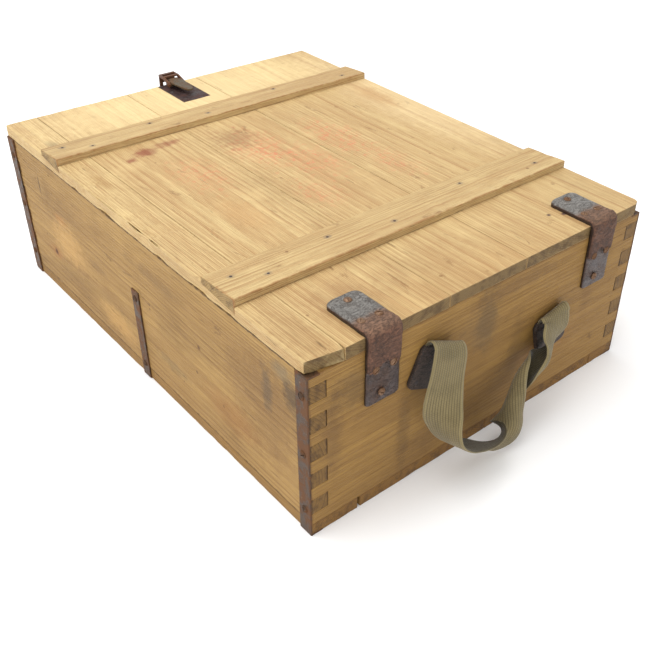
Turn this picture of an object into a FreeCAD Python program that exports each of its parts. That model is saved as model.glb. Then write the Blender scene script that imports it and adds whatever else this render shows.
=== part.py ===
import FreeCAD, Part
import math
import os
import re
import Sketcher

Vector = FreeCAD.Vector
Placement = FreeCAD.Placement
Rotation = FreeCAD.Rotation

# Wooden footlocker. Origin under the middle of the box, +Z up, +Y towards the latch end,
# so the leather hinges and the nearer webbing handle are on the -Y end. Millimetres.

DOC = FreeCAD.newDocument("footlocker")
SHEET = DOC.addObject("Spreadsheet::Sheet", "Sizes")
NODES = []

SIZES = (
    ("box_width", 440, "outside, across the boards"),
    ("box_length", 592, "outside, hinge end to latch end"),
    ("body_height", 185, "underside to rim"),
    ("wall_board", 18, "thickness of the side and end boards"),
    ("floor_board", 14, "thickness of the bottom boards"),
    ("lid_board", 13, "thickness of the lid boards"),
    ("tenon_height", 18, "one finger of the corner joints"),
    ("tenon_pitch", 32.3, "finger to finger"),
    ("tenon_start", 27.6, "underside of the lowest finger"),
    ("joint_gap", 0.5, "behind the fingers"),
    ("joint_play", 0.3, "above and below the fingers together"),
    ("floor_seam_a", -165, "seams between the bottom boards"),
    ("floor_seam_b", 6, ""),
    ("floor_seam_c", 180, ""),
    ("lid_seam_a", -182, "seams between the lid boards"),
    ("lid_seam_b", -62, ""),
    ("lid_seam_c", 40, ""),
    ("seam_gap", 0.6, "open seam between boards"),
    ("wide_gap", 3, "the one wide seam in the bottom"),
    ("lid_skew", 6, "how far the narrow lid board's hinge end runs back at the corner"),
    ("lid_corner", 10, "worn round corner of the wide lid board"),
    ("batten_near_edge", -192, "hinge batten, edge nearest the hinges"),
    ("batten_near_width", 54, ""),
    ("batten_far_edge", 155, "latch batten, edge nearest the hinges"),
    ("batten_far_width", 42, ""),
    ("batten_proud_high", 8, "above the lid at the high edge"),
    ("batten_proud_low", 5, "above the lid at the low edge"),
    ("batten_deep_high", 8, "let into the lid at the high edge"),
    ("batten_deep_low", 2.5, "let into the lid at the low edge"),
    ("strap_steel", 1.8, "thickness of the steel straps"),
    ("strap_width", 16, "corner straps"),
    ("strap_turn", 12, "length turned over the rim and under the bottom"),
    ("mid_width", 14, "straps halfway along the sides"),
    ("mid_height", 114, ""),
    ("mid_centre", 4, ""),
    ("hinge_width", 38, "leather hinge straps"),
    ("hinge_leather", 5.5, "two plies"),
    ("hinge_left_x", -142, "middle of the left strap"),
    ("hinge_right_x", 154, "middle of the right strap"),
    ("hinge_top_leaf", 55, "along the lid from its end"),
    ("hinge_end_leaf", 61, "down the end board from the rim"),
    ("patch_width", 44, "leather patch over each end of a handle"),
    ("patch_length", 46, ""),
    ("patch_leather", 5, "with the webbing under it"),
    ("web_width", 38, "handle webbing"),
    ("web_solid", 4, "thickness of the plain webbing solid"),
    ("latch_middle", 2.5, "centre line of the latch"),
    ("latch_plate_width", 39, ""),
    ("latch_plate_length", 66.5, ""),
    ("latch_steel", 2, "sheet thickness"),
    ("pivot_y", 290, "lever pivot"),
    ("pivot_z", 203.4, ""),
    ("link_y", 281, "link pivot on the lever"),
    ("link_z", 202.6, ""),
    ("pin_radius", 2, "lever pivot pin"),
    ("pin_play", 0.08, "running fit of the pins, on the radius"),
    ("link_pin_radius", 1.5, ""),
    ("screw_head", 4, "radius of the slotted round heads"),
    ("screw_dome", 2, "height of the heads"),
    ("screw_shank", 1.7, "radius of the shanks"),
    ("screw_length", 15, "shank length"),
)

for row, (alias, value, note) in enumerate(SIZES, start=1):
    SHEET.set(f"A{row}", note)
    SHEET.set(f"B{row}", str(value))
    SHEET.setAlias(f"B{row}", alias)
DOC.recompute()


# ---------------------------------------------------------------- helpers

def bound(text):
    """Turn a formula of alias names into an expression on the Sizes sheet."""
    return re.sub(r"[a-z]+(?:_[a-z]+)+", lambda found: "Sizes." + found.group(), text)


def size(text):
    """Value of a formula of alias names."""
    return float(SHEET.evalExpression(bound(text)))


def place(thing, corner, rotation=None):
    """Turn an object, then bind its position to three formulas."""
    if rotation is not None:
        thing.Placement = Placement(Vector(), rotation)
    for axis, text in zip("xyz", corner):
        thing.setExpression("Placement.Base." + axis, bound(text))
    return thing


def block(name, lengths, corner):
    """Box with its sizes and its lowest corner given as formulas."""
    box = DOC.addObject("Part::Box", name)
    for size_name, text in zip(("Length", "Width", "Height"), lengths):
        box.setExpression(size_name, bound(text))
    return place(box, corner)


def rod(name, radius, length, start, direction=Vector(0, 0, 1)):
    """Cylinder from a start point along a direction."""
    cylinder = DOC.addObject("Part::Cylinder", name)
    cylinder.setExpression("Radius", bound(radius))
    cylinder.setExpression("Height", bound(length))
    return place(cylinder, start, Rotation(Vector(0, 0, 1), direction))


def fuse(name, pieces):
    joined = DOC.addObject("Part::MultiFuse", name)
    joined.Shapes = pieces
    joined.Refine = True
    return joined


def cut(name, base, tools):
    """Cut one or more tools from a base."""
    result = DOC.addObject("Part::Cut", name)
    result.Base = base
    result.Tool = tools[0] if len(tools) == 1 else fuse(name + "_tools", tools)
    return result


def soften(name, base, radius, chosen):
    """Round the edges of a shape that a test picks out."""
    DOC.recompute()
    result = DOC.addObject("Part::Fillet", name)
    result.Base = base
    result.Edges = [
        (number, radius, radius)
        for number, edge in enumerate(base.Shape.Edges, start=1)
        if chosen(edge)
    ]
    return result


def outline(body, name, role, offset, points):
    """Closed sketch of straight lines on an origin plane, its corners bound to formulas."""
    plane = next(item for item in body.Origin.OriginFeatures if item.Role == role)
    sketch = body.newObject("Sketcher::SketchObject", name)
    sketch.AttachmentSupport = [(plane, "")]
    sketch.MapMode = "FlatFace"
    sketch.setExpression(".AttachmentOffset.Base.z", bound(offset))
    corners = [Vector(size(across), size(up), 0) for across, up in points]
    for number, corner in enumerate(corners):
        following = corners[(number + 1) % len(corners)]
        sketch.addGeometry(Part.LineSegment(corner, following), False)
    for number in range(len(corners)):
        following = (number + 1) % len(corners)
        sketch.addConstraint(Sketcher.Constraint("Coincident", number, 2, following, 1))
    for number, (across, up) in enumerate(points):
        for kind, text in (("DistanceX", across), ("DistanceY", up)):
            datum = Sketcher.Constraint(kind, -1, 1, number, 1, size(text))
            index = sketch.addConstraint(datum)
            sketch.setExpression(f"Constraints[{index}]", bound(text))
    return sketch


def plate(name, role, offset, points, thickness):
    """Body padded from an outline of straight lines."""
    body = DOC.addObject("PartDesign::Body", name)
    sketch = outline(body, name + "_outline", role, offset, points)
    pad = body.newObject("PartDesign::Pad", name + "_pad")
    pad.Profile = sketch
    pad.setExpression("Length", bound(thickness))
    return body


def node(label, thing):
    """Name the finished sub-part."""
    thing.Label = label
    NODES.append(thing)
    return thing


def scatter(label, master, places):
    """Group of like fasteners, each at a point and facing a direction."""
    DOC.recompute()
    copies = []
    for point, direction, spin in places:
        copy = master.Shape.copy()
        copy.rotate(Vector(), Vector(0, 0, 1), spin)
        turn = Placement(Vector(*point), Rotation(Vector(0, 0, 1), direction))
        copy.transformShape(turn.toMatrix())
        copies.append(copy)
    group = DOC.addObject("Part::Feature", label + "_group")
    group.Shape = Part.makeCompound(copies)
    return node(label, group)


RIGHT = Vector(1, 0, 0)
NEAR = Vector(0, -1, 0)
FAR = Vector(0, 1, 0)
UP = Vector(0, 0, 1)
DOWN = Vector(0, 0, -1)

HALF_WIDTH = size("box_width / 2")
HALF_LENGTH = size("box_length / 2")
RIM = size("body_height")
LID_TOP = size("body_height + lid_board")


# ---------------------------------------------------------------- fasteners

def slotted_screw():
    """Round-headed slotted wood screw; its head stands on the plane z = 0."""
    dome = DOC.addObject("Part::Sphere", "screw_dome_ball")
    ball = "((screw_head * screw_head + screw_dome * screw_dome) / (2 * screw_dome))"
    dome.setExpression("Radius", bound(ball))
    dome.setExpression("Angle1", bound(f"asin(({ball} - screw_dome) / {ball})"))
    dome.Angle2 = 90
    place(dome, ("0", "0", f"screw_dome - {ball}"))
    slot = block("screw_slot", ("2.4 * screw_head", "1.1", "2"), ("-1.2 * screw_head", "-0.55", "1"))
    shank = rod("screw_shank_rod", "screw_shank", "screw_length", ("0", "0", "-screw_length"))
    return fuse("slotted_screw", [cut("screw_head_cap", dome, [slot]), shank])


def flat_nail():
    """Flat-headed nail driven flush: the top of its head is the plane z = 0."""
    head = rod("nail_head", "2.6", "1", ("0", "0", "-1"))
    shank = rod("nail_shank", "1.1", "24", ("0", "0", "-25"))
    return fuse("flat_nail", [head, shank])


def short_nail():
    """Flat-headed nail for the lid, shorter than batten and board together."""
    head = rod("short_nail_head", "2", "1", ("0", "0", "-0.8"))
    shank = rod("short_nail_shank", "0.9", "14", ("0", "0", "-14.8"))
    return fuse("short_nail", [head, shank])


SCREW = slotted_screw()
FLAT_NAIL = flat_nail()
SHORT_NAIL = short_nail()


# ---------------------------------------------------------------- box body

TENONS = 5


def finger_bands(first_bottom, count, height):
    """Bottoms of the bands that a row of fingers makes, as formulas, with their height."""
    return [(f"{first_bottom} + {number} * tenon_pitch", height) for number in range(count)]


def side_board(label, sign):
    """Long side wall; its fingers run through to the outside of the end boards."""
    inner_or_outer = "-box_width / 2" if sign < 0 else "box_width / 2 - wall_board"
    board = block(
        label + "_plank",
        ("wall_board", "box_length", "body_height - floor_board"),
        (inner_or_outer, "-box_length / 2", "floor_board"),
    )
    bands = [("floor_board", "tenon_start - floor_board")]
    bands += finger_bands("tenon_start + tenon_height", TENONS - 1, "tenon_pitch - tenon_height")
    top_tenon_end = f"(tenon_start + tenon_height + {TENONS - 1} * tenon_pitch)"
    bands.append((top_tenon_end, f"body_height - {top_tenon_end}"))
    notches = []
    for end, start in (("near", "-box_length / 2"), ("far", "box_length / 2 - wall_board - joint_gap")):
        for number, (bottom, height) in enumerate(bands):
            notches.append(block(
                f"{label}_{end}_notch_{number}",
                ("wall_board", "wall_board + joint_gap", height),
                (inner_or_outer, start, bottom),
            ))
    for end, start in (("near", "-box_length / 2"), ("far", "box_length / 2 - strap_width")):
        notches.append(block(
            f"{label}_{end}_rim_recess",
            ("strap_turn", "strap_width", "strap_steel"),
            ("-box_width / 2" if sign < 0 else "box_width / 2 - strap_turn", start,
             "body_height - strap_steel"),
        ))
    node(label, cut(label + "_cut", board, notches))


def end_board(label, sign):
    """End wall; the side boards' fingers pass through its notches."""
    near_face = "-box_length / 2" if sign < 0 else "box_length / 2 - wall_board"
    board = block(
        label + "_plank",
        ("box_width", "wall_board", "body_height - floor_board"),
        ("-box_width / 2", near_face, "floor_board"),
    )
    notches = []
    for side, start in (("left", "-box_width / 2"), ("right", "box_width / 2 - wall_board - joint_gap")):
        for number, (bottom, height) in enumerate(finger_bands("tenon_start", TENONS, "tenon_height")):
            notches.append(block(
                f"{label}_{side}_notch_{number}",
                ("wall_board + joint_gap", "wall_board", f"{height} + joint_play"),
                (start, near_face, f"{bottom} - joint_play / 2"),
            ))
        notches.append(block(
            f"{label}_{side}_rim_recess",
            ("strap_turn", "strap_width", "strap_steel"),
            ("-box_width / 2" if side == "left" else "box_width / 2 - strap_turn",
             "-box_length / 2" if sign < 0 else "box_length / 2 - strap_width",
             "body_height - strap_steel"),
        ))
    node(label, cut(label + "_cut", board, notches))


def bottom_board(label, start, stop, recess_side=None):
    """Board under the walls, running from end to end."""
    board = block(
        label + "_plank",
        (f"({stop}) - ({start})", "box_length", "floor_board"),
        (start, "-box_length / 2", "0"),
    )
    if recess_side is None:
        node(label, board)
        return
    outer = "-box_width / 2" if recess_side == "left" else "box_width / 2 - strap_turn"
    feet = (
        ("near", "-box_length / 2", "strap_width"),
        ("mid", "mid_centre - mid_width / 2", "mid_width"),
        ("far", "box_length / 2 - strap_width", "strap_width"),
    )
    recesses = [
        block(f"{label}_{place_name}_foot", ("strap_turn", width, "strap_steel"), (outer, foot_start, "0"))
        for place_name, foot_start, width in feet
    ]
    node(label, cut(label + "_cut", board, recesses))


def steel_strap(label, sign, start, width, height, turned_over_rim):
    """Steel strap up a long side, its foot turned in under the bottom boards."""
    outer = f"{sign} * (box_width / 2 + strap_steel)"
    inner = f"{sign} * box_width / 2"
    tip = f"{sign} * (box_width / 2 - strap_turn)"
    if turned_over_rim:
        top = [(outer, height), (tip, height), (tip, f"{height} - strap_steel"),
               (inner, f"{height} - strap_steel")]
    else:
        top = [(outer, height), (inner, height)]
    points = [(outer, "0")] + top + [(inner, "strap_steel"), (tip, "strap_steel"), (tip, "0")]
    # A sketch on XZ faces -Y, so its offset runs against Y and the pad grows towards -Y.
    strap = plate(label + "_body", "XZ_Plane", f"-({start} + {width})", points, width)
    bends = soften(label + "_bends", strap, 1.4, lambda edge: is_outer_bend(edge, sign, height))
    node(label, bends)


def is_outer_bend(edge, sign, height):
    """Edge along Y on the outer face, at the foot or at the top of a strap."""
    ends = [vertex.Point for vertex in edge.Vertexes]
    outer = sign * (HALF_WIDTH + size("strap_steel"))
    along_y = len(ends) == 2 and abs(ends[0].y - ends[1].y) > 5
    level = abs(ends[0].z) < 0.01 or abs(ends[0].z - size(height)) < 0.01
    return along_y and level and all(abs(point.x - outer) < 0.01 for point in ends)


side_board("side_board_left", -1)
side_board("side_board_right", 1)
end_board("end_board_hinge", -1)
end_board("end_board_latch", 1)
bottom_board("bottom_board_1", "-box_width / 2", "floor_seam_a - wide_gap / 2", "left")
bottom_board("bottom_board_2", "floor_seam_a + wide_gap / 2", "floor_seam_b - seam_gap / 2")
bottom_board("bottom_board_3", "floor_seam_b + seam_gap / 2", "floor_seam_c - seam_gap / 2")
bottom_board("bottom_board_4", "floor_seam_c + seam_gap / 2", "box_width / 2", "right")

NEAR_START = "-box_length / 2"
FAR_START = "box_length / 2 - strap_width"
for side, side_sign in (("left", -1), ("right", 1)):
    for end, end_start in (("hinge", NEAR_START), ("latch", FAR_START)):
        steel_strap(f"corner_strap_{end}_{side}", side_sign, end_start, "strap_width",
                    "body_height", True)
    steel_strap(f"mid_strap_{side}", side_sign, "mid_centre - mid_width / 2", "mid_width",
                "mid_height", False)

STRAP_FACE = HALF_WIDTH + size("strap_steel")
STRAP_SCREW_Y = HALF_LENGTH - size("strap_width / 2")
scatter("corner_strap_screws", SCREW, [
    ((side_sign * STRAP_FACE, end_sign * STRAP_SCREW_Y, height), Vector(side_sign, 0, 0), spin)
    for side_sign in (-1, 1)
    for end_sign in (-1, 1)
    for height, spin in ((163, 35), (98, -60), (30, 20))
])
scatter("mid_strap_screws", SCREW, [
    ((side_sign * STRAP_FACE, size("mid_centre"), height), Vector(side_sign, 0, 0), spin)
    for side_sign in (-1, 1)
    for height, spin in ((104, 15), (18, 75))
])

END_NAILS = [(x, end_sign * (HALF_LENGTH - 9)) for end_sign in (-1, 1)
             for x in (-190, -174, -140, -30, 40, 150, 188)]
SIDE_NAILS = [(side_sign * (HALF_WIDTH - 6), y) for side_sign in (-1, 1)
              for y in (-220, -110, 100, 210)]
scatter("bottom_nails", FLAT_NAIL, [((x, y, 0), DOWN, 0) for x, y in END_NAILS + SIDE_NAILS])


# ---------------------------------------------------------------- lid

def batten_profile(near_edge, width):
    """Wedge section of a batten: corners in Y and Z, its high edge towards the hinges."""
    far_edge = f"{near_edge} + {width}"
    lid_top = "body_height + lid_board"
    return [
        (near_edge, f"{lid_top} + batten_proud_high"),
        (near_edge, f"{lid_top} - batten_deep_high"),
        (far_edge, f"{lid_top} - batten_deep_low"),
        (far_edge, f"{lid_top} + batten_proud_low"),
    ]


BATTENS = (
    ("lid_batten_hinge", "batten_near_edge", "batten_near_width"),
    ("lid_batten_latch", "batten_far_edge", "batten_far_width"),
)


def batten(label, near_edge, width):
    """Batten across the whole lid."""
    profile = batten_profile(near_edge, width)
    plank = plate(label + "_body", "YZ_Plane", "-box_width / 2", profile, "box_width")

    def on_top(edge):
        points = [vertex.Point for vertex in edge.Vertexes]
        return all(point.z > LID_TOP + 1 for point in points)

    node(label, soften(label + "_worn", plank, 1.2, on_top))


def housing(name, near_edge, width):
    """Cutter for the slot that a batten lies in."""
    return plate(name, "YZ_Plane", "-box_width / 2 - 5", batten_profile(near_edge, width), "box_width + 10")


def lid_plank(label, points, extra_cuts=()):
    """One lid board with both batten slots."""
    plank = plate(label + "_body", "XY_Plane", "body_height", points, "lid_board")
    slots = [housing(f"{label}_{batten_name}_slot", near_edge, width)
             for batten_name, near_edge, width in BATTENS]
    grooved = cut(label + "_cut", plank, slots + list(extra_cuts))

    def worn_edge(edge):
        points_on = [vertex.Point for vertex in edge.Vertexes]
        on_top = all(abs(point.z - LID_TOP) < 0.01 for point in points_on)
        outside = all(abs(point.x) > HALF_WIDTH - 0.01 for point in points_on)
        return on_top and outside and edge.Length > 20

    if any(size(across) in (-HALF_WIDTH, HALF_WIDTH) for across, along in points):
        grooved = soften(label + "_worn", grooved, 1.5, worn_edge)
    node(label, grooved)


LATCH_POCKET = block(
    "latch_plate_pocket",
    ("latch_plate_width", "latch_plate_length + 1", "latch_steel + 1"),
    ("latch_middle - latch_plate_width / 2", "box_length / 2 - latch_plate_length",
     "body_height + lid_board - latch_steel"),
)

HINGE_END = "-box_length / 2"
LATCH_END = "box_length / 2"
lid_plank("lid_board_1", [
    ("-box_width / 2", f"{HINGE_END} + lid_skew"), ("lid_seam_a - seam_gap / 2", HINGE_END),
    ("lid_seam_a - seam_gap / 2", LATCH_END), ("-box_width / 2", LATCH_END)])
lid_plank("lid_board_2", [
    ("lid_seam_a + seam_gap / 2", HINGE_END), ("lid_seam_b - seam_gap / 2", HINGE_END),
    ("lid_seam_b - seam_gap / 2", LATCH_END), ("lid_seam_a + seam_gap / 2", LATCH_END)])
lid_plank("lid_board_3", [
    ("lid_seam_b + seam_gap / 2", HINGE_END), ("lid_seam_c - seam_gap / 2", HINGE_END),
    ("lid_seam_c - seam_gap / 2", LATCH_END), ("lid_seam_b + seam_gap / 2", LATCH_END)],
    [LATCH_POCKET])
lid_plank("lid_board_4", [
    ("lid_seam_c + seam_gap / 2", HINGE_END), ("box_width / 2 - lid_corner", HINGE_END),
    ("box_width / 2 - lid_corner * 0.3", f"{HINGE_END} + lid_corner * 0.3"),
    ("box_width / 2", f"{HINGE_END} + lid_corner"),
    ("box_width / 2", LATCH_END), ("lid_seam_c + seam_gap / 2", LATCH_END)])

for batten_label, near, across in BATTENS:
    batten(batten_label, near, across)

BATTEN_NAIL_Z = LID_TOP + size("(batten_proud_high + batten_proud_low) / 2")
scatter("lid_batten_nails", SHORT_NAIL, [
    ((x, size(f"{near} + {across} / 2") + shift, BATTEN_NAIL_Z - 0.056 * shift), UP, 0)
    for batten_label, near, across in BATTENS
    for x, shift in ((-200, 8), (-172, -10), (-90, 9), (-20, -9), (90, 10), (190, -8))
])


# ---------------------------------------------------------------- leather hinges

def hinge_strap(label, middle):
    """Leather strap screwed to the lid top and to the end board."""
    end_face = "box_length / 2"
    points = [
        (f"-({end_face}) + hinge_top_leaf", "body_height + lid_board"),
        (f"-({end_face}) + hinge_top_leaf", "body_height + lid_board + hinge_leather"),
        (f"-({end_face}) - 1", "body_height + lid_board + hinge_leather"),
        (f"-({end_face}) - hinge_leather", "body_height + lid_board + 1"),
        (f"-({end_face}) - hinge_leather", "body_height - hinge_end_leaf"),
        (f"-({end_face})", "body_height - hinge_end_leaf"),
        (f"-({end_face})", "body_height + lid_board"),
    ]
    strap = plate(label + "_body", "YZ_Plane", f"{middle} - hinge_width / 2", points, "hinge_width")
    holes = [
        rod(f"{label}_hole_{number}", "screw_shank + 0.4", "hinge_leather + 2",
            (f"{middle} + {shift}", "-box_length / 2 - hinge_leather - 1", f"body_height - {drop}"), FAR)
        for number, (shift, drop) in enumerate(END_LEAF_SCREWS)
    ]
    node(label, cut(label + "_cut", strap, holes))


# Screws of one strap: sideways from its middle, then down from the rim or back from the lid's end.
END_LEAF_SCREWS = ((-10, 23), (10, 23), (-2, 51))
TOP_LEAF_SCREWS = ((-10, 16), (9, 15), (1, 47))
HINGE_MIDDLES = ("hinge_left_x", "hinge_right_x")

hinge_strap("hinge_strap_left", HINGE_MIDDLES[0])
hinge_strap("hinge_strap_right", HINGE_MIDDLES[1])
scatter("hinge_screws_lid", SCREW, [
    ((size(middle) + shift, back - HALF_LENGTH, LID_TOP + size("hinge_leather")), UP, spin)
    for middle in HINGE_MIDDLES
    for (shift, back), spin in zip(TOP_LEAF_SCREWS, (40, -25, 60))
])
scatter("hinge_screws_box", SCREW, [
    ((size(middle) + shift, -HALF_LENGTH - size("hinge_leather"), RIM - drop), NEAR, spin)
    for middle in HINGE_MIDDLES
    for (shift, drop), spin in zip(END_LEAF_SCREWS, (30, 50, -35))
])


# ---------------------------------------------------------------- webbing handles

# Middle of each leather patch on the hinge end (x, z) and how far it leans, in degrees.
PATCHES = (("left", -84, 131, 24), ("right", 90, 91, -14))


def leather_patch(label, middle_x, middle_z, lean, end_sign):
    """Round-cornered patch nailed over the end of a handle."""
    patch = DOC.addObject("Part::Box", label + "_blank")
    patch.setExpression("Length", bound("patch_width"))
    patch.setExpression("Width", bound("patch_leather"))
    patch.setExpression("Height", bound("patch_length"))
    turn = Rotation(UP, 0 if end_sign < 0 else 180) * Rotation(FAR, lean)
    corner = Vector(-size("patch_width") / 2, -size("patch_leather"), -size("patch_length") / 2)
    face = Vector(-end_sign * middle_x, end_sign * HALF_LENGTH, middle_z)
    patch.Placement = Placement(face + turn.multVec(corner), turn)
    across = turn.multVec(FAR)

    def upright(edge):
        ends = [vertex.Point for vertex in edge.Vertexes]
        return abs(abs((ends[1] - ends[0]).normalize().dot(across)) - 1) < 0.01

    node(label, soften(label + "_corners", patch, 7, upright))


def patch_nails(middle_x, middle_z, lean, end_sign):
    """Places of the four nails of one patch."""
    turn = Rotation(FAR, lean)
    places = []
    for across, up in ((-14, 15), (14, 15), (-14, -15), (14, -15)):
        spot = turn.multVec(Vector(across, 0, up)) + Vector(middle_x, 0, middle_z)
        face_y = end_sign * (HALF_LENGTH + size("patch_leather"))
        places.append(((-end_sign * spot.x, face_y, spot.z), Vector(0, end_sign, 0), 0))
    return places


nail_places = []
for end, end_sign in (("hinge", -1), ("latch", 1)):
    for side, middle_x, middle_z, lean in PATCHES:
        leather_patch(f"handle_patch_{end}_{side}", middle_x, middle_z, lean, end_sign)
        nail_places += patch_nails(middle_x, middle_z, lean, end_sign)
scatter("handle_patch_nails", SHORT_NAIL, nail_places)

# Stations of the hanging webbing on the hinge end: distance out from the end board is
# negative y. Each is a middle point and the direction from the left edge to the right edge.
WEBBING = (
    ((-76.5, -303.9, 146.5), (0.91, 0, -0.41)),
    ((-80, -305, 134), (0.93, -0.05, -0.3)),
    ((-86, -312, 116), (0.97, -0.12, -0.12)),
    ((-92, -320, 96), (0.95, -0.3, 0.05)),
    ((-86, -326, 74), (0.78, -0.6, 0.2)),
    ((-68, -329, 55), (0.5, -0.68, 0.5)),
    ((-40, -330, 41), (0.25, -0.6, 0.75)),
    ((-8, -330, 36), (0.05, -0.35, 0.93)),
    ((24, -328, 42), (-0.1, 0.1, 0.98)),
    ((50, -322, 54), (-0.25, 0.3, 0.9)),
    ((68, -315, 68), (-0.6, 0.25, 0.74)),
    ((79, -308, 86), (-0.9, 0.1, 0.36)),
    ((83, -303.9, 106.5), (-0.972, 0, 0.235)),
)


def cross_section(index, end_sign):
    """Four corners of the webbing at a station."""
    middle = Vector(*WEBBING[index][0])
    across = Vector(*WEBBING[index][1]).normalize()
    before = Vector(*WEBBING[max(index - 1, 0)][0])
    after = Vector(*WEBBING[min(index + 1, len(WEBBING) - 1)][0])
    through = across.cross(after - before).normalize()
    corners = []
    for wide, thick in ((-1, -1), (1, -1), (1, 1), (-1, 1)):
        corner = middle + across * (wide * size("web_width") / 2)
        corner += through * (thick * size("web_solid") / 2)
        corners.append(Vector(-end_sign * corner.x, -end_sign * corner.y, corner.z))
    return corners


def triangle(first, second, third):
    return Part.Face(Part.makePolygon([first, second, third, first]))


def webbing(label, end_sign):
    """Closed band of flat facets through the stations."""
    sections = [cross_section(index, end_sign) for index in range(len(WEBBING))]
    faces = []
    for start, stop in zip(sections, sections[1:]):
        for corner in range(4):
            following = (corner + 1) % 4
            faces.append(triangle(start[corner], start[following], stop[following]))
            faces.append(triangle(start[corner], stop[following], stop[corner]))
    for cap in (sections[0], sections[-1]):
        faces.append(triangle(cap[0], cap[1], cap[2]))
        faces.append(triangle(cap[0], cap[2], cap[3]))
    band = Part.makeSolid(Part.makeShell(faces))
    if band.Volume < 0:
        band.reverse()
    ribbon = DOC.addObject("Part::Feature", label + "_band")
    ribbon.Shape = band
    node(label, ribbon)


webbing("handle_webbing_hinge", -1)
webbing("handle_webbing_latch", 1)


# ---------------------------------------------------------------- latch

def pair(name, offset, thickness, profile):
    """Two like plates either side of the latch's centre line, from a profile in Y and Z."""
    return [
        plate(f"{name}_left", "YZ_Plane", f"latch_middle - {offset} - {thickness}", profile, thickness),
        plate(f"{name}_right", "YZ_Plane", f"latch_middle + {offset}", profile, thickness),
    ]


def cross_rod(name, radius, half_length, y, z):
    """Cylinder across the latch, centred on its middle line."""
    return rod(name, radius, f"2 * {half_length}", (f"latch_middle - {half_length}", y, z), RIGHT)


def latch_base():
    """Flush plate with two ears for the lever's pivot pin."""
    sheet = block(
        "latch_base_sheet",
        ("latch_plate_width", "latch_plate_length", "latch_steel"),
        ("latch_middle - latch_plate_width / 2", "box_length / 2 - latch_plate_length",
         "body_height + lid_board - latch_steel"),
    )
    ear_foot = "body_height + lid_board - latch_steel"
    ear_profile = [
        ("pivot_y - 3.4", ear_foot), ("pivot_y + 3.4", ear_foot),
        ("pivot_y + 3.4", "pivot_z"), ("pivot_y + 2.4", "pivot_z + 2.4"), ("pivot_y", "pivot_z + 3.4"),
        ("pivot_y - 2.4", "pivot_z + 2.4"), ("pivot_y - 3.4", "pivot_z"),
    ]
    ears = pair("latch_ear", "6.6", "1.8", ear_profile)
    hole = cross_rod("latch_ear_hole", "pin_radius + 0.02", "12", "pivot_y", "pivot_z")
    node("latch_base_plate", cut("latch_base_cut", fuse("latch_base_shape", [sheet] + ears), [hole]))


def latch_lever():
    """Lever folded flat towards the middle of the lid."""
    thumb = plate("latch_thumb", "XY_Plane", "pivot_z + 1.3", [
        ("latch_middle - 8.8", "pivot_y - 5"), ("latch_middle - 8.8", "pivot_y - 14"),
        ("latch_middle - 5.5", "pivot_y - 40"), ("latch_middle - 3.6", "pivot_y - 45"),
        ("latch_middle", "pivot_y - 47"), ("latch_middle + 3.6", "pivot_y - 45"),
        ("latch_middle + 5.5", "pivot_y - 40"), ("latch_middle + 8.8", "pivot_y - 14"),
        ("latch_middle + 8.8", "pivot_y - 5")], "latch_steel")
    neck = block("latch_neck", ("12.4", "7", "latch_steel"),
                 ("latch_middle - 6.2", "pivot_y - 7", "pivot_z + 1.3"))
    knuckle = cross_rod("latch_knuckle", "3.4", "6.2", "pivot_y", "pivot_z")
    cheeks = pair("latch_cheek", "6.6", "2.2", [
        ("link_y - 2.6", "link_z - 1.2"), ("link_y - 1.2", "link_z - 2.6"),
        ("link_y + 1.2", "link_z - 2.6"), ("link_y + 2.6", "link_z - 1.2"),
        ("link_y + 2.6", "pivot_z + 2"), ("link_y - 2.6", "pivot_z + 2")])
    pivot_hole = cross_rod("latch_pivot_hole", "pin_radius + pin_play", "12", "pivot_y", "pivot_z")
    pin_hole = cross_rod("latch_pin_hole", "link_pin_radius", "12", "link_y", "link_z")
    shape = fuse("latch_lever_shape", [thumb, neck, knuckle] + cheeks)
    node("latch_lever", cut("latch_lever_cut", shape, [pivot_hole, pin_hole]))


def latch_link():
    """Hook that swings over the lid's end: two arms, two bands and a leg with a window."""
    arms = pair("latch_arm", "9.2", "2", [
        ("link_y - 2.8", "link_z - 1.2"), ("link_y - 1.2", "link_z - 2.8"),
        ("link_y + 1.4", "link_z - 2.6"), ("link_y + 3.2", "link_z"),
        ("link_y + 14", "link_z + 3.6"), ("link_y + 25.4", "link_z + 3.6"),
        ("link_y + 25.4", "link_z + 6.8"), ("link_y + 12", "link_z + 6.8"),
        ("link_y - 1.2", "link_z + 2.8"), ("link_y - 2.8", "link_z + 1.2")])
    bands = [
        block("latch_band_inner", ("22.4", "4", "latch_steel"),
              ("latch_middle - 11.2", "link_y + 12", "link_z + 4.8")),
        block("latch_band_outer", ("22.4", "4.4", "latch_steel"),
              ("latch_middle - 11.2", "link_y + 21", "link_z + 4.8")),
    ]
    leg = block("latch_leg", ("22.4", "latch_steel", "36"),
                ("latch_middle - 11.2", "link_y + 23.4", "link_z + 6.8 - 36"))
    window = block("latch_leg_window", ("13", "6", "20"),
                   ("latch_middle - 6.5", "link_y + 21.4", "link_z - 24"))
    bar = cross_rod("latch_bar", "1.9", "11.2", "link_y + 23.6", "link_z - 30")
    eyes = cross_rod("latch_eyes", "link_pin_radius + pin_play", "15", "link_y", "link_z")
    shape = fuse("latch_link_shape", arms + bands + [leg, bar])
    node("latch_link", cut("latch_link_cut", shape, [eyes, window]))


def latch_catch():
    """Plate on the end board with a ledge for the hook's bar."""
    sheet = block("latch_catch_sheet", ("28", "strap_steel", "42"),
                  ("latch_middle - 14", "box_length / 2", "140"))
    ledge = block("latch_catch_ledge", ("20", "5.6", "3"),
                  ("latch_middle - 10", "box_length / 2", "173"))
    node("latch_catch_plate", fuse("latch_catch_shape", [sheet, ledge]))


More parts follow.
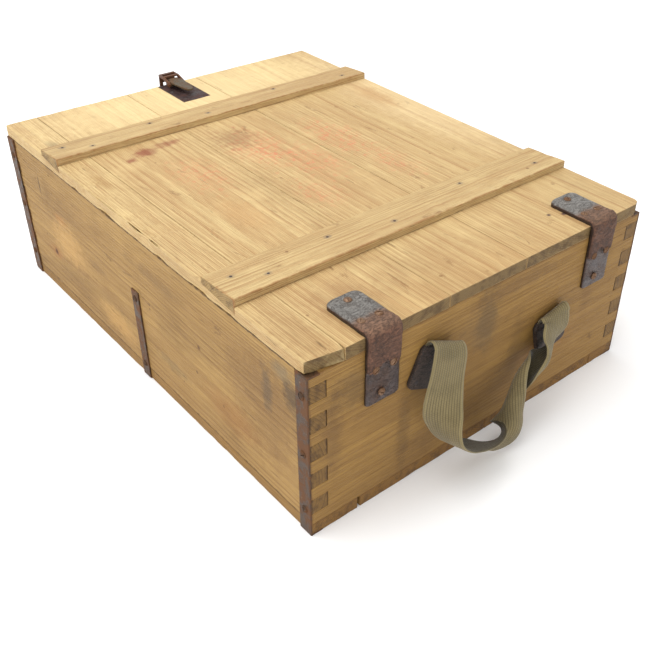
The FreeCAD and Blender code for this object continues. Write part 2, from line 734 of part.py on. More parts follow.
latch_base()
node("latch_pivot_pin", cross_rod("latch_pivot_rod", "pin_radius", "8.8", "pivot_y", "pivot_z"))
latch_lever()
node("latch_link_pin", cross_rod("latch_link_rod", "link_pin_radius", "12.6", "link_y", "link_z"))
latch_link()
latch_catch()

LATCH_X = size("latch_middle")
CATCH_FACE = HALF_LENGTH + size("strap_steel")
scatter("latch_base_nails", SHORT_NAIL, [
    ((LATCH_X + shift, y, LID_TOP), UP, 0)
    for shift, y in ((-13, 237), (13, 237), (-14, 268), (14, 268))
])
scatter("latch_catch_screws", SCREW, [
    ((LATCH_X + shift, CATCH_FACE, 150), FAR, spin) for shift, spin in ((-8, 25), (8, -40))
])


# ---------------------------------------------------------------- export

def check(thing):
    """Stop if an object did not compute or has no usable shape."""
    if {"Invalid", "Error"} & set(thing.State):
        raise RuntimeError(f"{thing.Name} did not compute: {thing.State}")
    if hasattr(thing, "Shape") and thing in NODES:
        if thing.Shape.isNull() or not thing.Shape.isValid():
            raise RuntimeError(f"{thing.Label} has no valid shape")


DOC.recompute()
for item in DOC.Objects:
    check(item)
os.makedirs("parts", exist_ok=True)
for item in NODES:
    item.Shape.exportStep(f"parts/{item.Label}.step")
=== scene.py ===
import math

import bmesh
import bpy
from mathutils import Matrix, Vector, noise


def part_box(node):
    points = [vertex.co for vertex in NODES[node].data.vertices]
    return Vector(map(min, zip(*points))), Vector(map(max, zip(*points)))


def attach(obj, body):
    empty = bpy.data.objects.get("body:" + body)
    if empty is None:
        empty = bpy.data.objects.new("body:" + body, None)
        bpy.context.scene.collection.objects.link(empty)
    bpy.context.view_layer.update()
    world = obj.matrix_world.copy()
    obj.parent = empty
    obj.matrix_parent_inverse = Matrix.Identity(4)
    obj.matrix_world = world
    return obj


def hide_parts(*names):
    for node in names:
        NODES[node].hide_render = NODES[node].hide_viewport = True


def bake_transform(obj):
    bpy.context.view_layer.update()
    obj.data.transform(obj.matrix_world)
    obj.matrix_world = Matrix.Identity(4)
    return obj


bl_info = {
    "name": "Wooden footlocker",
    "version": (1, 0, 0),
    "blender": (4, 5, 0),
    "location": "3D view, sidebar, Footlocker",
    "description": "Builds an old battened pine chest with leather hinges and webbing handles",
    "category": "Object",
}

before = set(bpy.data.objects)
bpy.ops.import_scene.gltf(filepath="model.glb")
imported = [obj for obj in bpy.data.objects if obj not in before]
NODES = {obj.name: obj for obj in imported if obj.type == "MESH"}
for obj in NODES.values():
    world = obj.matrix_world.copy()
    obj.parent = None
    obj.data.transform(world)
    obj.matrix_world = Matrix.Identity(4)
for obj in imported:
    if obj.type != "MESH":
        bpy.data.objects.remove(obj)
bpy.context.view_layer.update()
MM = 0.001
RIB = 2.5 * MM          # width of one rib of the webbing
GRAIN_LINE = 1.9 * MM   # spacing of the fine dark lines in the wood
THREAD_PITCH = 0.0021   # crosswise threads of the webbing
SLOT_WIDTH = 1.1 * MM   # slot in a screw head

BOX_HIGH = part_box("side_board_right")[1]
HALF_WIDTH = BOX_HIGH.x
HALF_LENGTH = BOX_HIGH.y
RIM = BOX_HIGH.z
LID_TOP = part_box("lid_board_2")[1].z


def linear(red, green, blue):
    """Linear colour from 0-255 display values."""
    return tuple(
        value / 255 / 12.92 if value <= 10 else ((value / 255 + 0.055) / 1.055) ** 2.4
        for value in (red, green, blue)
    )


def rgba(colour):
    return (*colour[:3], 1.0)


# --- settings

def colour_property(name, description, default):
    return bpy.props.FloatVectorProperty(
        name=name, description=description, subtype="COLOR", size=3, min=0, max=1,
        default=linear(*default))


def length_property(name, description, default):
    return bpy.props.FloatProperty(
        name=name, description=description, unit="LENGTH", subtype="DISTANCE", default=default, min=0,
        precision=5)


def angle_property(name, description, degrees):
    return bpy.props.FloatProperty(
        name=name, description=description, subtype="ANGLE", default=math.radians(degrees))


class FootlockerWood(bpy.types.PropertyGroup):
    """Colours and edge wear of the boards."""
    lid: colour_property("Lid", "Light wood of the lid boards", (208, 183, 130))
    lid_dark: colour_property("Lid grain", "Dark grain lines of the lid boards", (150, 100, 56))
    side: colour_property("Sides", "Light wood of the long sides", (172, 138, 80))
    side_dark: colour_property("Side grain", "Dark grain lines of the long sides", (119, 82, 42))
    end: colour_property("Ends", "Light wood of the end boards", (156, 120, 60))
    end_dark: colour_property("End grain lines", "Dark grain lines of the end boards", (112, 78, 42))
    grime: colour_property("Grime", "Dirt in seams and on end grain", (62, 40, 22))
    edge_radius: length_property("Worn edges", "Rounding of the boards' edges", 0.5 * MM)


class FootlockerLeather(bpy.types.PropertyGroup):
    """Finish of the hinge straps and of the handle patches."""
    fibre: colour_property("Rough ply", "Torn fibrous leather", (106, 70, 50))
    # The blue-grey colour named here is a painted sheen on faces that look up.
    smooth: colour_property("Smooth ply", "Smooth leather with a blue-grey bloom", (72, 60, 58))
    patch: colour_property("Patches", "Leather over the handle ends", (46, 34, 28))
    ply: length_property("Ply", "Thickness of one ply of a hinge strap", 2.6 * MM)


class FootlockerMetal(bpy.types.PropertyGroup):
    """Finish of straps, screws, nails and latch."""
    strap: colour_property("Straps", "Rusted strap steel", (70, 50, 32))
    rust: colour_property("Rust", "Bright rust", (108, 70, 40))
    screw: colour_property("Screws", "Dull screw heads", (142, 112, 88))
    latch: colour_property("Latch", "Oxidised latch sheet", (60, 44, 42))
    head_radius: length_property("Screw heads", "Radius of the slotted heads", 4 * MM)
    nail_radius: length_property("Nail heads", "Radius of the flat heads", 2.4 * MM)


class FootlockerWebbing(bpy.types.PropertyGroup):
    """The two hanging handles."""
    thread: colour_property("Thread", "Olive webbing", (124, 111, 78))
    # Painted shade: this colour darkens the gaps between the ribs, and the inner face of the webbing,
    # where it is partly dirt.
    shade: colour_property("Shade", "Dirt between the ribs", (50, 44, 28))
    width: length_property("Width", "Width of the webbing", 37 * MM)
    thickness: length_property("Thickness", "Thickness of the webbing", 2.4 * MM)


class FootlockerStage(bpy.types.PropertyGroup):
    """Floor, light and camera."""
    floor: colour_property("Floor", "Plain pale floor", (250, 250, 250))
    sky: bpy.props.FloatProperty(
        name="Sky", description="Strength of the even light", default=1.0, min=0)
    key: bpy.props.FloatProperty(
        name="Key light", description="Power of the large soft light", default=48, min=0,
        subtype="POWER")
    azimuth: angle_property("Azimuth", "Camera direction", -41.8)
    elevation: angle_property("Elevation", "Camera height", 35.55)
    roll: angle_property("Roll", "Camera tilt", 1.63)


# --- shader graph helpers

GROUPS = {}


class Graph:
    """Short way to add and join nodes in one node tree."""

    def __init__(self, tree):
        self.tree = tree

    def feed(self, socket, value):
        if isinstance(value, bpy.types.NodeSocket):
            self.tree.links.new(value, socket)
        elif value is not None:
            socket.default_value = value

    def add(self, kind, inputs=None, **settings):
        node = self.tree.nodes.new(kind)
        for name, value in settings.items():
            setattr(node, name, value)
        for key, value in (inputs or {}).items():
            self.feed(node.inputs[key], value)
        return node

    def group(self, name, inputs):
        return self.add("ShaderNodeGroup", inputs, node_tree=GROUPS[name]).outputs

    def attribute(self, name):
        return self.add("ShaderNodeAttribute", attribute_name=name).outputs["Fac"]

    def math(self, operation, first, second=None, clamp=False):
        node = self.add("ShaderNodeMath", {0: first, 1: second}, operation=operation, use_clamp=clamp)
        return node.outputs[0]

    def plus(self, first, second, clamp=False):
        return self.math("ADD", first, second, clamp)

    def minus(self, first, second):
        return self.math("SUBTRACT", first, second)

    def times(self, first, second, clamp=False):
        return self.math("MULTIPLY", first, second, clamp)

    def vector(self, operation, first, second=None):
        node = self.add("ShaderNodeVectorMath", {0: first, 1: second}, operation=operation)
        return node.outputs["Value" if operation == "LENGTH" else "Vector"]

    def stretch(self, vector, factors):
        return self.vector("MULTIPLY", vector, factors)

    def axes(self, vector):
        return self.add("ShaderNodeSeparateXYZ", {0: vector}).outputs

    def combine(self, x, y, z):
        return self.add("ShaderNodeCombineXYZ", {0: x, 1: y, 2: z}).outputs[0]

    def mix(self, factor, under, over):
        return self.add("ShaderNodeMix", {0: factor, 6: under, 7: over}, data_type="RGBA").outputs[2]

    def tint(self, under, over, mask, strength, clamp=False):
        """Lay a colour over another where a mask says, at some strength."""
        return self.mix(self.times(mask, strength, clamp), under, over)

    def step(self, value, low, high, start=0.0, stop=1.0):
        """Smooth step from start to stop as value goes from low to high."""
        node = self.add("ShaderNodeMapRange", {0: value, 1: low, 2: high, 3: start, 4: stop},
                        interpolation_type="SMOOTHSTEP")
        return node.outputs[0]

    def cloud(self, vector, scale, detail=3.0, roughness=0.5, distortion=0.0):
        node = self.add("ShaderNodeTexNoise", {"Vector": vector, "Scale": scale, "Detail": detail,
                                               "Roughness": roughness, "Distortion": distortion})
        return node.outputs[0]

    def cloud_vector(self, vector, scale):
        node = self.add("ShaderNodeTexNoise", {"Vector": vector, "Scale": scale, "Detail": 2.0})
        return self.vector("SUBTRACT", node.outputs[1], (0.5, 0.5, 0.5))

    def centred_cloud(self, vector, scale, roughness):
        return self.minus(self.cloud(vector, scale, 4.0, roughness), 0.5)


def shader_group(name, build, defaults):
    """Node group with inputs from default values and outputs from what build returns."""
    tree = bpy.data.node_groups.new(name, "ShaderNodeTree")

    def new_socket(label, in_out, kind):
        return tree.interface.new_socket(label, in_out=in_out, socket_type=f"NodeSocket{kind}")

    for label, default in defaults.items():
        kind = {3: "Vector", 4: "Color"}[len(default)] if isinstance(default, tuple) else "Float"
        new_socket(label, "INPUT", kind).default_value = default
    graph = Graph(tree)
    results = build(graph, tree.nodes.new("NodeGroupInput").outputs)
    for label, value in results.items():
        new_socket(label, "OUTPUT", "Color" if value.type == "RGBA" else "Float")
    sink = tree.nodes.new("NodeGroupOutput").inputs
    for label, value in results.items():
        graph.feed(sink[label], value)
    return tree


# Texture scales are per metre: a larger number is a finer pattern.

def build_grain(graph, source):
    """Growth rings round a pith that runs along Y, with fibres, broad streaks and fine lines."""
    placed = graph.vector("SUBTRACT", source["Vector"], source["Pith"])
    slow = graph.stretch(placed, (1.0, 0.22, 1.0))
    sway = graph.cloud_vector(graph.vector("ADD", slow, source["Pith"]), 7.0)
    sway = graph.stretch(sway, source["Wobble"])
    fine = graph.cloud_vector(graph.stretch(placed, (1.0, 0.12, 1.0)), 60.0)
    fine = graph.stretch(fine, (0.0012, 0.0, 0.0012))
    bent = graph.vector("ADD", graph.vector("ADD", placed, sway), fine)
    distance = graph.vector("LENGTH", graph.stretch(bent, (1.0, 0.0, 1.0)))
    rings = graph.math("DIVIDE", distance, source["Ring Width"])
    phase, number = graph.math("FRACT", rings), graph.math("FLOOR", rings)
    late = graph.times(graph.math("POWER", phase, 2.2), graph.step(phase, 0.9, 1.0, 1.0, 0.0))
    strength = graph.cloud(graph.combine(graph.times(number, 0.73), 3.1, 0.0), 1.0, 1.0)
    late = graph.times(late, graph.step(strength, 0.3, 0.66, 0.25, 1.2), clamp=True)
    fibre = graph.cloud(graph.stretch(placed, (1.0, 0.018, 1.0)), 1100.0, 3.0, 0.7)
    streak = graph.cloud(graph.stretch(placed, (1.0, 0.09, 1.0)), 42.0, 4.0, 0.6)
    fold = graph.axes(graph.vector("ADD", placed, graph.stretch(fine, (0.6, 0.0, 0.6))))
    lines = graph.math("SINE", graph.times(graph.plus(fold[0], fold[2]), math.tau / GRAIN_LINE))
    lines = graph.times(graph.step(lines, -0.2, 0.9), graph.step(streak, 0.35, 0.6, 0.35, 1.0))
    return {"Ring": late, "Fibre": fibre, "Streak": streak, "Line": lines}


def build_specks(graph, source):
    """Small dark dents scattered over a board, and a longer grey smear here and there."""
    dots = graph.add("ShaderNodeTexVoronoi", {
        "Vector": source["Vector"], "Scale": 46.0, "Randomness": 1.0})
    chance = graph.axes(dots.outputs[1])
    size = graph.times(chance[1], 0.085)
    dot = graph.step(graph.minus(dots.outputs[0], size), 0.0, 0.045, 1.0, 0.0)
    dot = graph.times(dot, graph.step(chance[0], 0.6, 0.7))
    cloud = graph.cloud(graph.stretch(source["Vector"], (1.0, 0.35, 1.0)), 62.0, 4.0, 0.7, 0.5)
    return {"Dot": dot, "Smear": graph.step(cloud, 0.62, 0.72)}


def build_worn_edges(graph, source):
    """Mask along the edges of an upright box, from the two nearest pairs of faces."""
    below = graph.vector("SUBTRACT", source["Vector"], source["Low"])
    above = graph.vector("SUBTRACT", source["High"], source["Vector"])
    near = graph.axes(graph.vector("MINIMUM", below, above))
    least, most, total = (graph.math(kind, graph.math(kind, near[0], near[1]), near[2])
                          for kind in ("MINIMUM", "MAXIMUM", "ADD"))
    middle = graph.minus(graph.minus(total, least), most)
    reach = graph.times(source["Width"], 2.4)
    rag = graph.times(graph.centred_cloud(source["Vector"], 150.0, 0.6), reach)
    return {"Mask": graph.step(graph.plus(middle, rag), 0.0, source["Width"], 1.0, 0.0)}


def build_spot(graph, source):
    """Ragged soft spot round a centre."""
    offset = graph.vector("SUBTRACT", source["Vector"], source["Centre"])
    offset = graph.vector("DIVIDE", offset, source["Size"])
    rag = graph.times(graph.centred_cloud(source["Vector"], 120.0, 0.65), source["Ragged"])
    mask = graph.step(graph.plus(graph.vector("LENGTH", offset), rag), 0.2, 1.0, 1.0, 0.0)
    crumbs = graph.step(graph.cloud(source["Vector"], 190.0, 3.0, 0.7), 0.5, 0.66)
    crumbs = graph.plus(1.0, graph.times(graph.minus(crumbs, 1.0), source["Speckle"]))
    return {"Mask": graph.times(mask, crumbs)}


def build_rust(graph, source):
    """Rust over dark steel: colour, roughness and height."""
    broad = graph.cloud(source["Vector"], 90.0, 5.0, 0.65, 0.4)
    fine = graph.cloud(source["Vector"], 700.0, 3.0, 0.6)
    rusty = graph.step(graph.plus(broad, graph.times(fine, 0.18)), 0.46, 0.72)
    dark = graph.mix(graph.step(fine, 0.3, 0.7), source["Steel"], source["Shade"])
    colour = graph.tint(dark, source["Rust"], rusty, source["Amount"], clamp=True)
    worn = graph.step(graph.cloud(source["Vector"], 210.0, 4.0, 0.7), 0.66, 0.74)
    return {
        "Color": graph.tint(colour, source["Bare"], worn, source["Chips"]),
        "Roughness": graph.plus(0.42, graph.times(rusty, 0.36), clamp=True),
        "Height": graph.plus(graph.times(rusty, 0.6), graph.times(fine, 0.5)),
    }


def build_leather(graph, source):
    """Pores, creases across the strap and cracks."""
    pores = graph.add("ShaderNodeTexVoronoi", {"Vector": source["Vector"], "Scale": 620.0},
                      feature="F1").outputs[0]
    creases = graph.cloud(graph.stretch(source["Vector"], (1.0, 2.6, 2.6)), 120.0, 5.0, 0.65, 1.2)
    cracks = graph.step(graph.math("ABSOLUTE", graph.minus(creases, 0.5)), 0.0, 0.05, 1.0, 0.0)
    height = graph.minus(graph.times(pores, 0.35), graph.times(cracks, 0.7))
    return {"Height": graph.plus(height, creases), "Crack": cracks,
            "Patch": graph.cloud(source["Vector"], 55.0, 4.0, 0.6)}


def build_weave(graph, source):
    """Lengthwise ribs crossed by fine threads, from the piece's own UV map in metres."""
    parts = graph.axes(source["UV"])
    rib = graph.math("SINE", graph.times(parts[0], math.tau / (2 * RIB)))
    along = graph.times(parts[1], math.tau / THREAD_PITCH)
    turn = graph.times(graph.math("SIGN", rib), 1.5708)
    thread = graph.math("SINE", graph.plus(along, turn))
    rib_height = graph.math("POWER", graph.math("ABSOLUTE", rib), 0.6)
    height = graph.plus(graph.times(rib_height, 0.7), graph.times(graph.plus(thread, 1.0), 0.22))
    # Gap marks the grooves between the ribs, where the webbing material paints shade.
    gap = graph.step(rib_height, 0.2, 0.75, 1.0, 0.0)
    return {"Height": height, "Gap": gap, "Thread": graph.step(thread, -0.8, 0.8)}


ZERO, BLACK = (0.0, 0.0, 0.0), (0.0, 0.0, 0.0, 1.0)
GROUP_PLANS = (
    ("grain", "Plank grain", build_grain,
     {"Vector": ZERO, "Pith": ZERO, "Wobble": (0.02, 0.0, 0.02), "Ring Width": 0.003}),
    ("specks", "Dents", build_specks, {"Vector": ZERO}),
    ("edges", "Worn edges", build_worn_edges,
     {"Vector": ZERO, "Low": ZERO, "High": ZERO, "Width": 0.002}),
    ("spot", "Soft spot", build_spot,
     {"Vector": ZERO, "Centre": ZERO, "Size": (0.01, 0.01, 0.01), "Ragged": 0.6, "Speckle": 0.0}),
    ("rust", "Old steel", build_rust,
     {"Vector": ZERO, "Steel": BLACK, "Shade": BLACK, "Rust": BLACK, "Bare": BLACK, "Amount": 0.8,
      "Chips": 0.5}),
    ("leather", "Old leather", build_leather, {"Vector": ZERO}),
    ("weave", "Webbing weave", build_weave, {"UV": ZERO}),
)


def make_groups():
    """Build the shared shader groups once."""
    for key, name, build, defaults in GROUP_PLANS:
        GROUPS[key] = shader_group(name, build, defaults)


def new_material(name):
    """Material with only a Principled shader in its tree: returns it, a graph and the shader."""
    material = bpy.data.materials.new(name)
    material.use_nodes = True
    tree = material.node_tree
    return material, Graph(tree), tree.nodes["Principled BSDF"]


def coat(graph, shader, colour, roughness, height, depth):
    """Join colour, roughness and a bump of some depth to the shader."""
    graph.feed(shader.inputs["Base Color"], colour)
    graph.feed(shader.inputs["Roughness"], roughness)
    node = graph.add("ShaderNodeBump", {"Height": height, "Distance": depth, "Strength": 1.0})
    graph.feed(shader.inputs["Normal"], node.outputs[0])


def shade(colour, factor):
    """The colour made darker, or lighter up to full."""
    return rgba([min(1, value * factor) for value in colour])


# --- materials

PINK, RED, GREY, KNOT, INK = (206, 128, 92), (132, 62, 44), (128, 112, 84), (84, 46, 22), (74, 74, 82)
CUT_WARMTH = (1.0, 0.88, 0.72)


def wood_material(node, light, dark, grime, grain_along, pith, ring_width, dirt_and_shade, wobble=18 * MM,
                  contrast=0.75, edge_colour=None, edge_width=2.2 * MM, edge_strength=0.6, spots=(),
                  end_tone=0.62, line_strength=0.3):
    """Old pine for one board; the rings, wear, stains and the painted light and shade of some spots are
    placed in the board's own frame.
    """
    low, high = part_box(node)
    material, graph, shader = new_material(f"pine_{node}")
    place = graph.add("ShaderNodeTexCoord").outputs
    where, normal = place["Object"], graph.axes(place["Normal"])
    if grain_along == "X":
        parts = graph.axes(where)
        grained, end_facing = graph.combine(parts[1], parts[0], parts[2]), normal[0]
    else:
        grained, end_facing = where, normal[1]
    grain = graph.group("grain", {
        "Vector": grained, "Pith": pith, "Wobble": (wobble, 0.0, wobble * 0.6),
        "Ring Width": ring_width})

    colour = graph.tint(rgba(light), rgba(dark), grain["Ring"], contrast)
    middle = [(a + b) / 2 for a, b in zip(light, dark)]
    colour = graph.mix(graph.step(grain["Streak"], 0.35, 0.75, 0.0, 0.5), colour, rgba(middle))
    fibre = graph.step(grain["Fibre"], 0.42, 0.68)
    colour = graph.tint(colour, rgba(dark), fibre, 0.42)
    colour = graph.tint(colour, rgba(dark), grain["Line"], line_strength)
    smudge = graph.cloud(graph.stretch(grained, (1.0, 0.45, 1.0)), 9.0, 4.0, 0.6, 0.3)
    colour = graph.tint(colour, shade(dark, 0.55), graph.step(smudge, 0.5, 0.78), dirt_and_shade)
    pale = graph.step(graph.cloud(grained, 16.0, 3.0, 0.55), 0.55, 0.8)
    colour = graph.tint(colour, shade(light, 1.25), pale, 0.28)
    specks = graph.group("specks", {"Vector": grained})
    colour = graph.tint(colour, shade(dark, 0.5), specks["Dot"], 0.6)
    colour = graph.tint(colour, shade(dark, 0.6), specks["Smear"], 0.5)
    for centre, size, spot_colour, strength, ragged in spots:
        mask = graph.group("spot", {
            "Vector": where, "Centre": [c * MM for c in centre], "Size": [s * MM for s in size],
            "Ragged": ragged, "Speckle": 0.8 if spot_colour == PINK else 0.0})["Mask"]
        colour = graph.tint(colour, rgba(linear(*spot_colour)), mask, strength)

    cut_wood = [value * end_tone * warmth for value, warmth in zip(light, CUT_WARMTH)]
    ended = graph.tint(rgba(cut_wood), shade(dark, 0.5), grain["Ring"], 0.7)
    blotch = graph.step(graph.cloud(where, 110.0, 4.0, 0.65), 0.42, 0.7)
    ended = graph.tint(ended, rgba(grime), blotch, 0.55)
    colour = graph.mix(graph.step(graph.math("ABSOLUTE", end_facing), 0.6, 0.8), colour, ended)
    edge = graph.group("edges", {"Vector": where, "Low": low, "High": high, "Width": edge_width})["Mask"]
    colour = graph.tint(colour, rgba(edge_colour or grime), edge, edge_strength)
    scratch = graph.cloud(graph.stretch(grained, (1.0, 0.06, 1.0)), 320.0, 3.0, 0.6)
    nick = graph.step(scratch, 0.70, 0.76)
    colour = graph.tint(colour, rgba(grime), nick, 0.5)

    height = graph.minus(graph.times(grain["Ring"], 0.8), graph.times(fibre, 0.45))
    height = graph.minus(height, graph.times(nick, 0.8))
    shader.inputs["Specular IOR Level"].default_value = 0.32
    coat(graph, shader, colour, graph.plus(0.5, graph.times(grain["Fibre"], 0.3)), height, 0.5 * MM)
    return material


def steel_material(name, steel, rust, amount=0.8, chips=0.5, metallic=0.35):
    """Rusted or oxidised sheet."""
    material, graph, shader = new_material(name)
    where = graph.add("ShaderNodeTexCoord").outputs["Object"]
    old = graph.group("rust", {
        "Vector": where, "Steel": rgba(steel), "Shade": shade(steel, 0.55), "Rust": rgba(rust),
        "Bare": rgba(linear(158, 142, 116)), "Amount": amount, "Chips": chips})
    shader.inputs["Metallic"].default_value = metallic
    coat(graph, shader, old["Color"], old["Roughness"], old["Height"], 0.25 * MM)
    return material


def hinge_leather_material(fibre, smooth):
    """Two-ply leather: a torn red-brown ply over a smooth ply; faces that look up get a painted
    blue-grey sheen, and the dark layered side edges get painted shade.
    """
    material, graph, shader = new_material("hinge_leather_old")
    where = graph.add("ShaderNodeTexCoord").outputs["Object"]
    torn, side = graph.attribute("torn"), graph.attribute("side")
    old = graph.group("leather", {"Vector": where})
    rough_ply = graph.mix(graph.step(old["Patch"], 0.35, 0.7), rgba(fibre), shade(fibre, 0.45))
    threads = graph.cloud(graph.stretch(where, (1.0, 0.3, 0.3)), 520.0, 4.0, 0.7)
    rough_ply = graph.mix(graph.step(threads, 0.5, 0.75, 0.0, 0.6), rough_ply, rgba(linear(146, 98, 72)))
    sheen = graph.mix(graph.step(old["Patch"], 0.38, 0.62), rgba(smooth), shade(fibre, 0.42))
    # Painted sheen: faces that look up are lightened, towards blue-grey on the smooth ply and towards
    # light brown on the torn ply.
    up = graph.axes(graph.add("ShaderNodeNewGeometry").outputs["Normal"])[2]
    top_sheen = graph.step(up, 0.3, 0.95, 0.0, 0.75)
    sheen = graph.mix(top_sheen, sheen, rgba(linear(126, 124, 118)))
    rough_ply = graph.tint(rough_ply, rgba(linear(140, 108, 84)), top_sheen, 0.7)
    colour = graph.mix(torn, sheen, rough_ply)
    colour = graph.tint(colour, shade(fibre, 0.2), old["Crack"], 0.6)
    # The strap's sides: dark layered cut leather, made darker still as painted shade.
    layers = graph.math("SINE", graph.times(side, 14.0))
    cut_edge_and_shade = graph.mix(graph.step(layers, -0.4, 0.6), shade(fibre, 0.16), shade(fibre, 0.34))
    colour = graph.mix(graph.step(side, 0.02, 0.2), colour, cut_edge_and_shade)
    height = graph.plus(old["Height"], graph.times(threads, graph.times(torn, 1.3)))
    coat(graph, shader, colour, graph.plus(0.3, graph.times(torn, 0.42), clamp=True), height, 0.5 * MM)
    return material


def patch_leather_material(patch):
    """Dark worn leather of the handle patches."""
    material, graph, shader = new_material("patch_leather_old")
    where = graph.add("ShaderNodeTexCoord").outputs["Object"]
    old = graph.group("leather", {"Vector": where})
    colour = graph.mix(graph.step(old["Patch"], 0.35, 0.68), rgba(patch), shade(patch, 0.4))
    colour = graph.tint(colour, rgba(linear(110, 84, 66)), old["Crack"], 0.5)
    roughness = graph.plus(0.42, graph.times(old["Patch"], 0.3))
    coat(graph, shader, colour, roughness, old["Height"], 0.4 * MM)
    return material


def webbing_material(thread, dirt_and_shade):
    """Olive ribbed webbing, with a painted highlight along the selvages and painted shade between the
    ribs and on the inner face.
    """
    material, graph, shader = new_material("webbing_olive")
    coordinates = graph.add("ShaderNodeTexCoord").outputs
    weave = graph.group("weave", {"UV": coordinates["UV"]})
    broad = graph.cloud(coordinates["Object"], 45.0, 4.0, 0.6)
    colour = graph.mix(graph.step(broad, 0.35, 0.7), rgba(thread), shade(thread, 0.72))
    # Painted shade in the gaps between the ribs.
    colour = graph.tint(colour, rgba(dirt_and_shade), weave["Gap"], 0.85)
    colour = graph.tint(colour, shade(thread, 1.35), weave["Thread"], 0.25)
    # Painted highlight along the selvages.
    colour = graph.tint(colour, rgba(linear(146, 132, 94)), graph.attribute("selvage"), 0.45)
    # Painted shade on the inner face of the webbing, partly dirt.
    colour = graph.tint(colour, rgba(dirt_and_shade), graph.attribute("inner"), 0.8)
    shader.inputs["Sheen Weight"].default_value = 0.2
    shader.inputs["Specular IOR Level"].default_value = 0.2
    coat(graph, shader, colour, graph.plus(0.78, graph.times(broad, 0.15)), weave["Height"], 0.45 * MM)
    return material


# --- mesh helpers

def mesh_object(name, bm_or_mesh, material, smooth=False):
    """Link a finished mesh as an object at the origin."""
    mesh = bm_or_mesh
    if isinstance(bm_or_mesh, bmesh.types.BMesh):
        mesh = bpy.data.meshes.new(name)
        bm_or_mesh.to_mesh(mesh)
        bm_or_mesh.free()
    mesh.materials.clear()
    mesh.materials.append(material)
    for polygon in mesh.polygons:
        polygon.use_smooth = smooth
    obj = bpy.data.objects.new(name, mesh)
    bpy.context.scene.collection.objects.link(obj)
    return obj


def hand_in(obj, body, slot_name, node):
    """Attach a finished piece to its body and hide the node it replaces; the slot name is not used."""
    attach(obj, body)
    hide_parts(node)


def in_fixed_order(bm):
    """The same mesh with its faces sorted, each from its lowest vertex, so that every run agrees."""
    bm.verts.index_update()
    faces = []
    for face in bm.faces:
        around = [vertex.index for vertex in face.verts]
        start = around.index(min(around))
        faces.append(around[start:] + around[:start])
    mesh = bpy.data.meshes.new("ordered")
    mesh.from_pydata([vertex.co.copy() for vertex in bm.verts], [], sorted(faces))
    bm.free()
    ordered = bmesh.new()
    ordered.from_mesh(mesh)
    bpy.data.meshes.remove(mesh)
    return ordered


def worn_copy(node, name, material, radius, wander=0.15 * MM, chips=0.0, step=9 * MM, chip_where=None):
    """Copy of a CAD node with rounded, slightly uneven edges."""
    bm = bmesh.new()
    bm.from_mesh(NODES[node].data)
    bmesh.ops.remove_doubles(bm, verts=bm.verts, dist=5e-6)
    bmesh.ops.dissolve_limit(bm, angle_limit=math.radians(1.5), verts=bm.verts, edges=bm.edges)
    long_edges = [edge for edge in bm.edges if edge.calc_length() > step * 2]
    for edge in long_edges:
        cuts = int(edge.calc_length() / step)
        bmesh.ops.subdivide_edges(bm, edges=[edge], cuts=cuts)
    sharp = [edge for edge in bm.edges if len(edge.link_faces) == 2 and edge.calc_face_angle(0) > 0.5]
    bmesh.ops.bevel(bm, geom=sharp, offset=radius, offset_type="OFFSET", segments=2, profile=0.55,
                    affect="EDGES", clamp_overlap=True)
    bm = in_fixed_order(bm)
    bm.normal_update()
    for vertex in bm.verts:
        place = vertex.co.copy()
        drift = noise.noise_vector(place * 55) * wander
        bite = max(0.0, noise.noise(place * 70 + Vector((3, 7, 1))) - 0.12) * chips
        if chip_where is not None:
            bite *= chip_where(place)
        vertex.co += drift - vertex.normal * bite
    bmesh.ops.triangulate(bm, faces=[face for face in bm.faces if len(face.verts) > 4])
    return mesh_object(name, in_fixed_order(bm), material)


def worn_piece(node, material, body, slot_name, radius, prefix="worn", **wear):
    """Worn copy of a CAD node, attached to its body in place of the node; the slot name is not used."""
    hand_in(worn_copy(node, f"{prefix}_{node}", material, radius, **wear), body, slot_name, node)


def strap_outline(columns):
    """Places round a flat strap: share of the half width from -1 to 1, then 1 on top and -1 below."""
    top = [(column / columns * 2 - 1, 1.0) for column in range(columns + 1)]
    return top + [(share, -1.0) for share, _ in reversed(top)]


def strap_object(name, rings, material, attributes, uvs=()):
    """Closed smooth strap from rings of points in the order of strap_outline, with capped ends."""
    count, rows = len(rings[0]), len(rings) - 1
    faces = [(row * count + column, row * count + (column + 1) % count,
              (row + 1) * count + (column + 1) % count, (row + 1) * count + column)
             for row in range(rows) for column in range(count)]
    for start in (0, rows * count):
        end = start + count - 1
        faces += [(start + column, start + column + 1, end - column - 1, end - column)
                  for column in range(count // 2 - 1)]
    mesh = bpy.data.meshes.new(name)
    mesh.from_pydata([point for ring in rings for point in ring], [], faces)
    for label, values in attributes.items():
        mesh.attributes.new(label, "FLOAT", "POINT").data.foreach_set("value", values)
    if uvs:
        layer = mesh.uv_layers.new(name="UVMap")
        for loop in mesh.loops:
            layer.data[loop.index].uv = uvs[loop.vertex_index]
    bm = bmesh.new()
    bm.from_mesh(mesh)
    bmesh.ops.recalc_face_normals(bm, faces=bm.faces)
    bm.to_mesh(mesh)
    bm.free()
    return mesh_object(name, mesh, material, smooth=True)


# --- boards

LID_EDGE_X, LID_EDGE_Y = -0.215, 0.293
# Nails in a batten: place along it and shift from its middle line, in millimetres.
BATTEN_NAILS = ((-200, 8), (-172, -10), (-90, 9), (-20, -9), (90, 10), (190, -8))
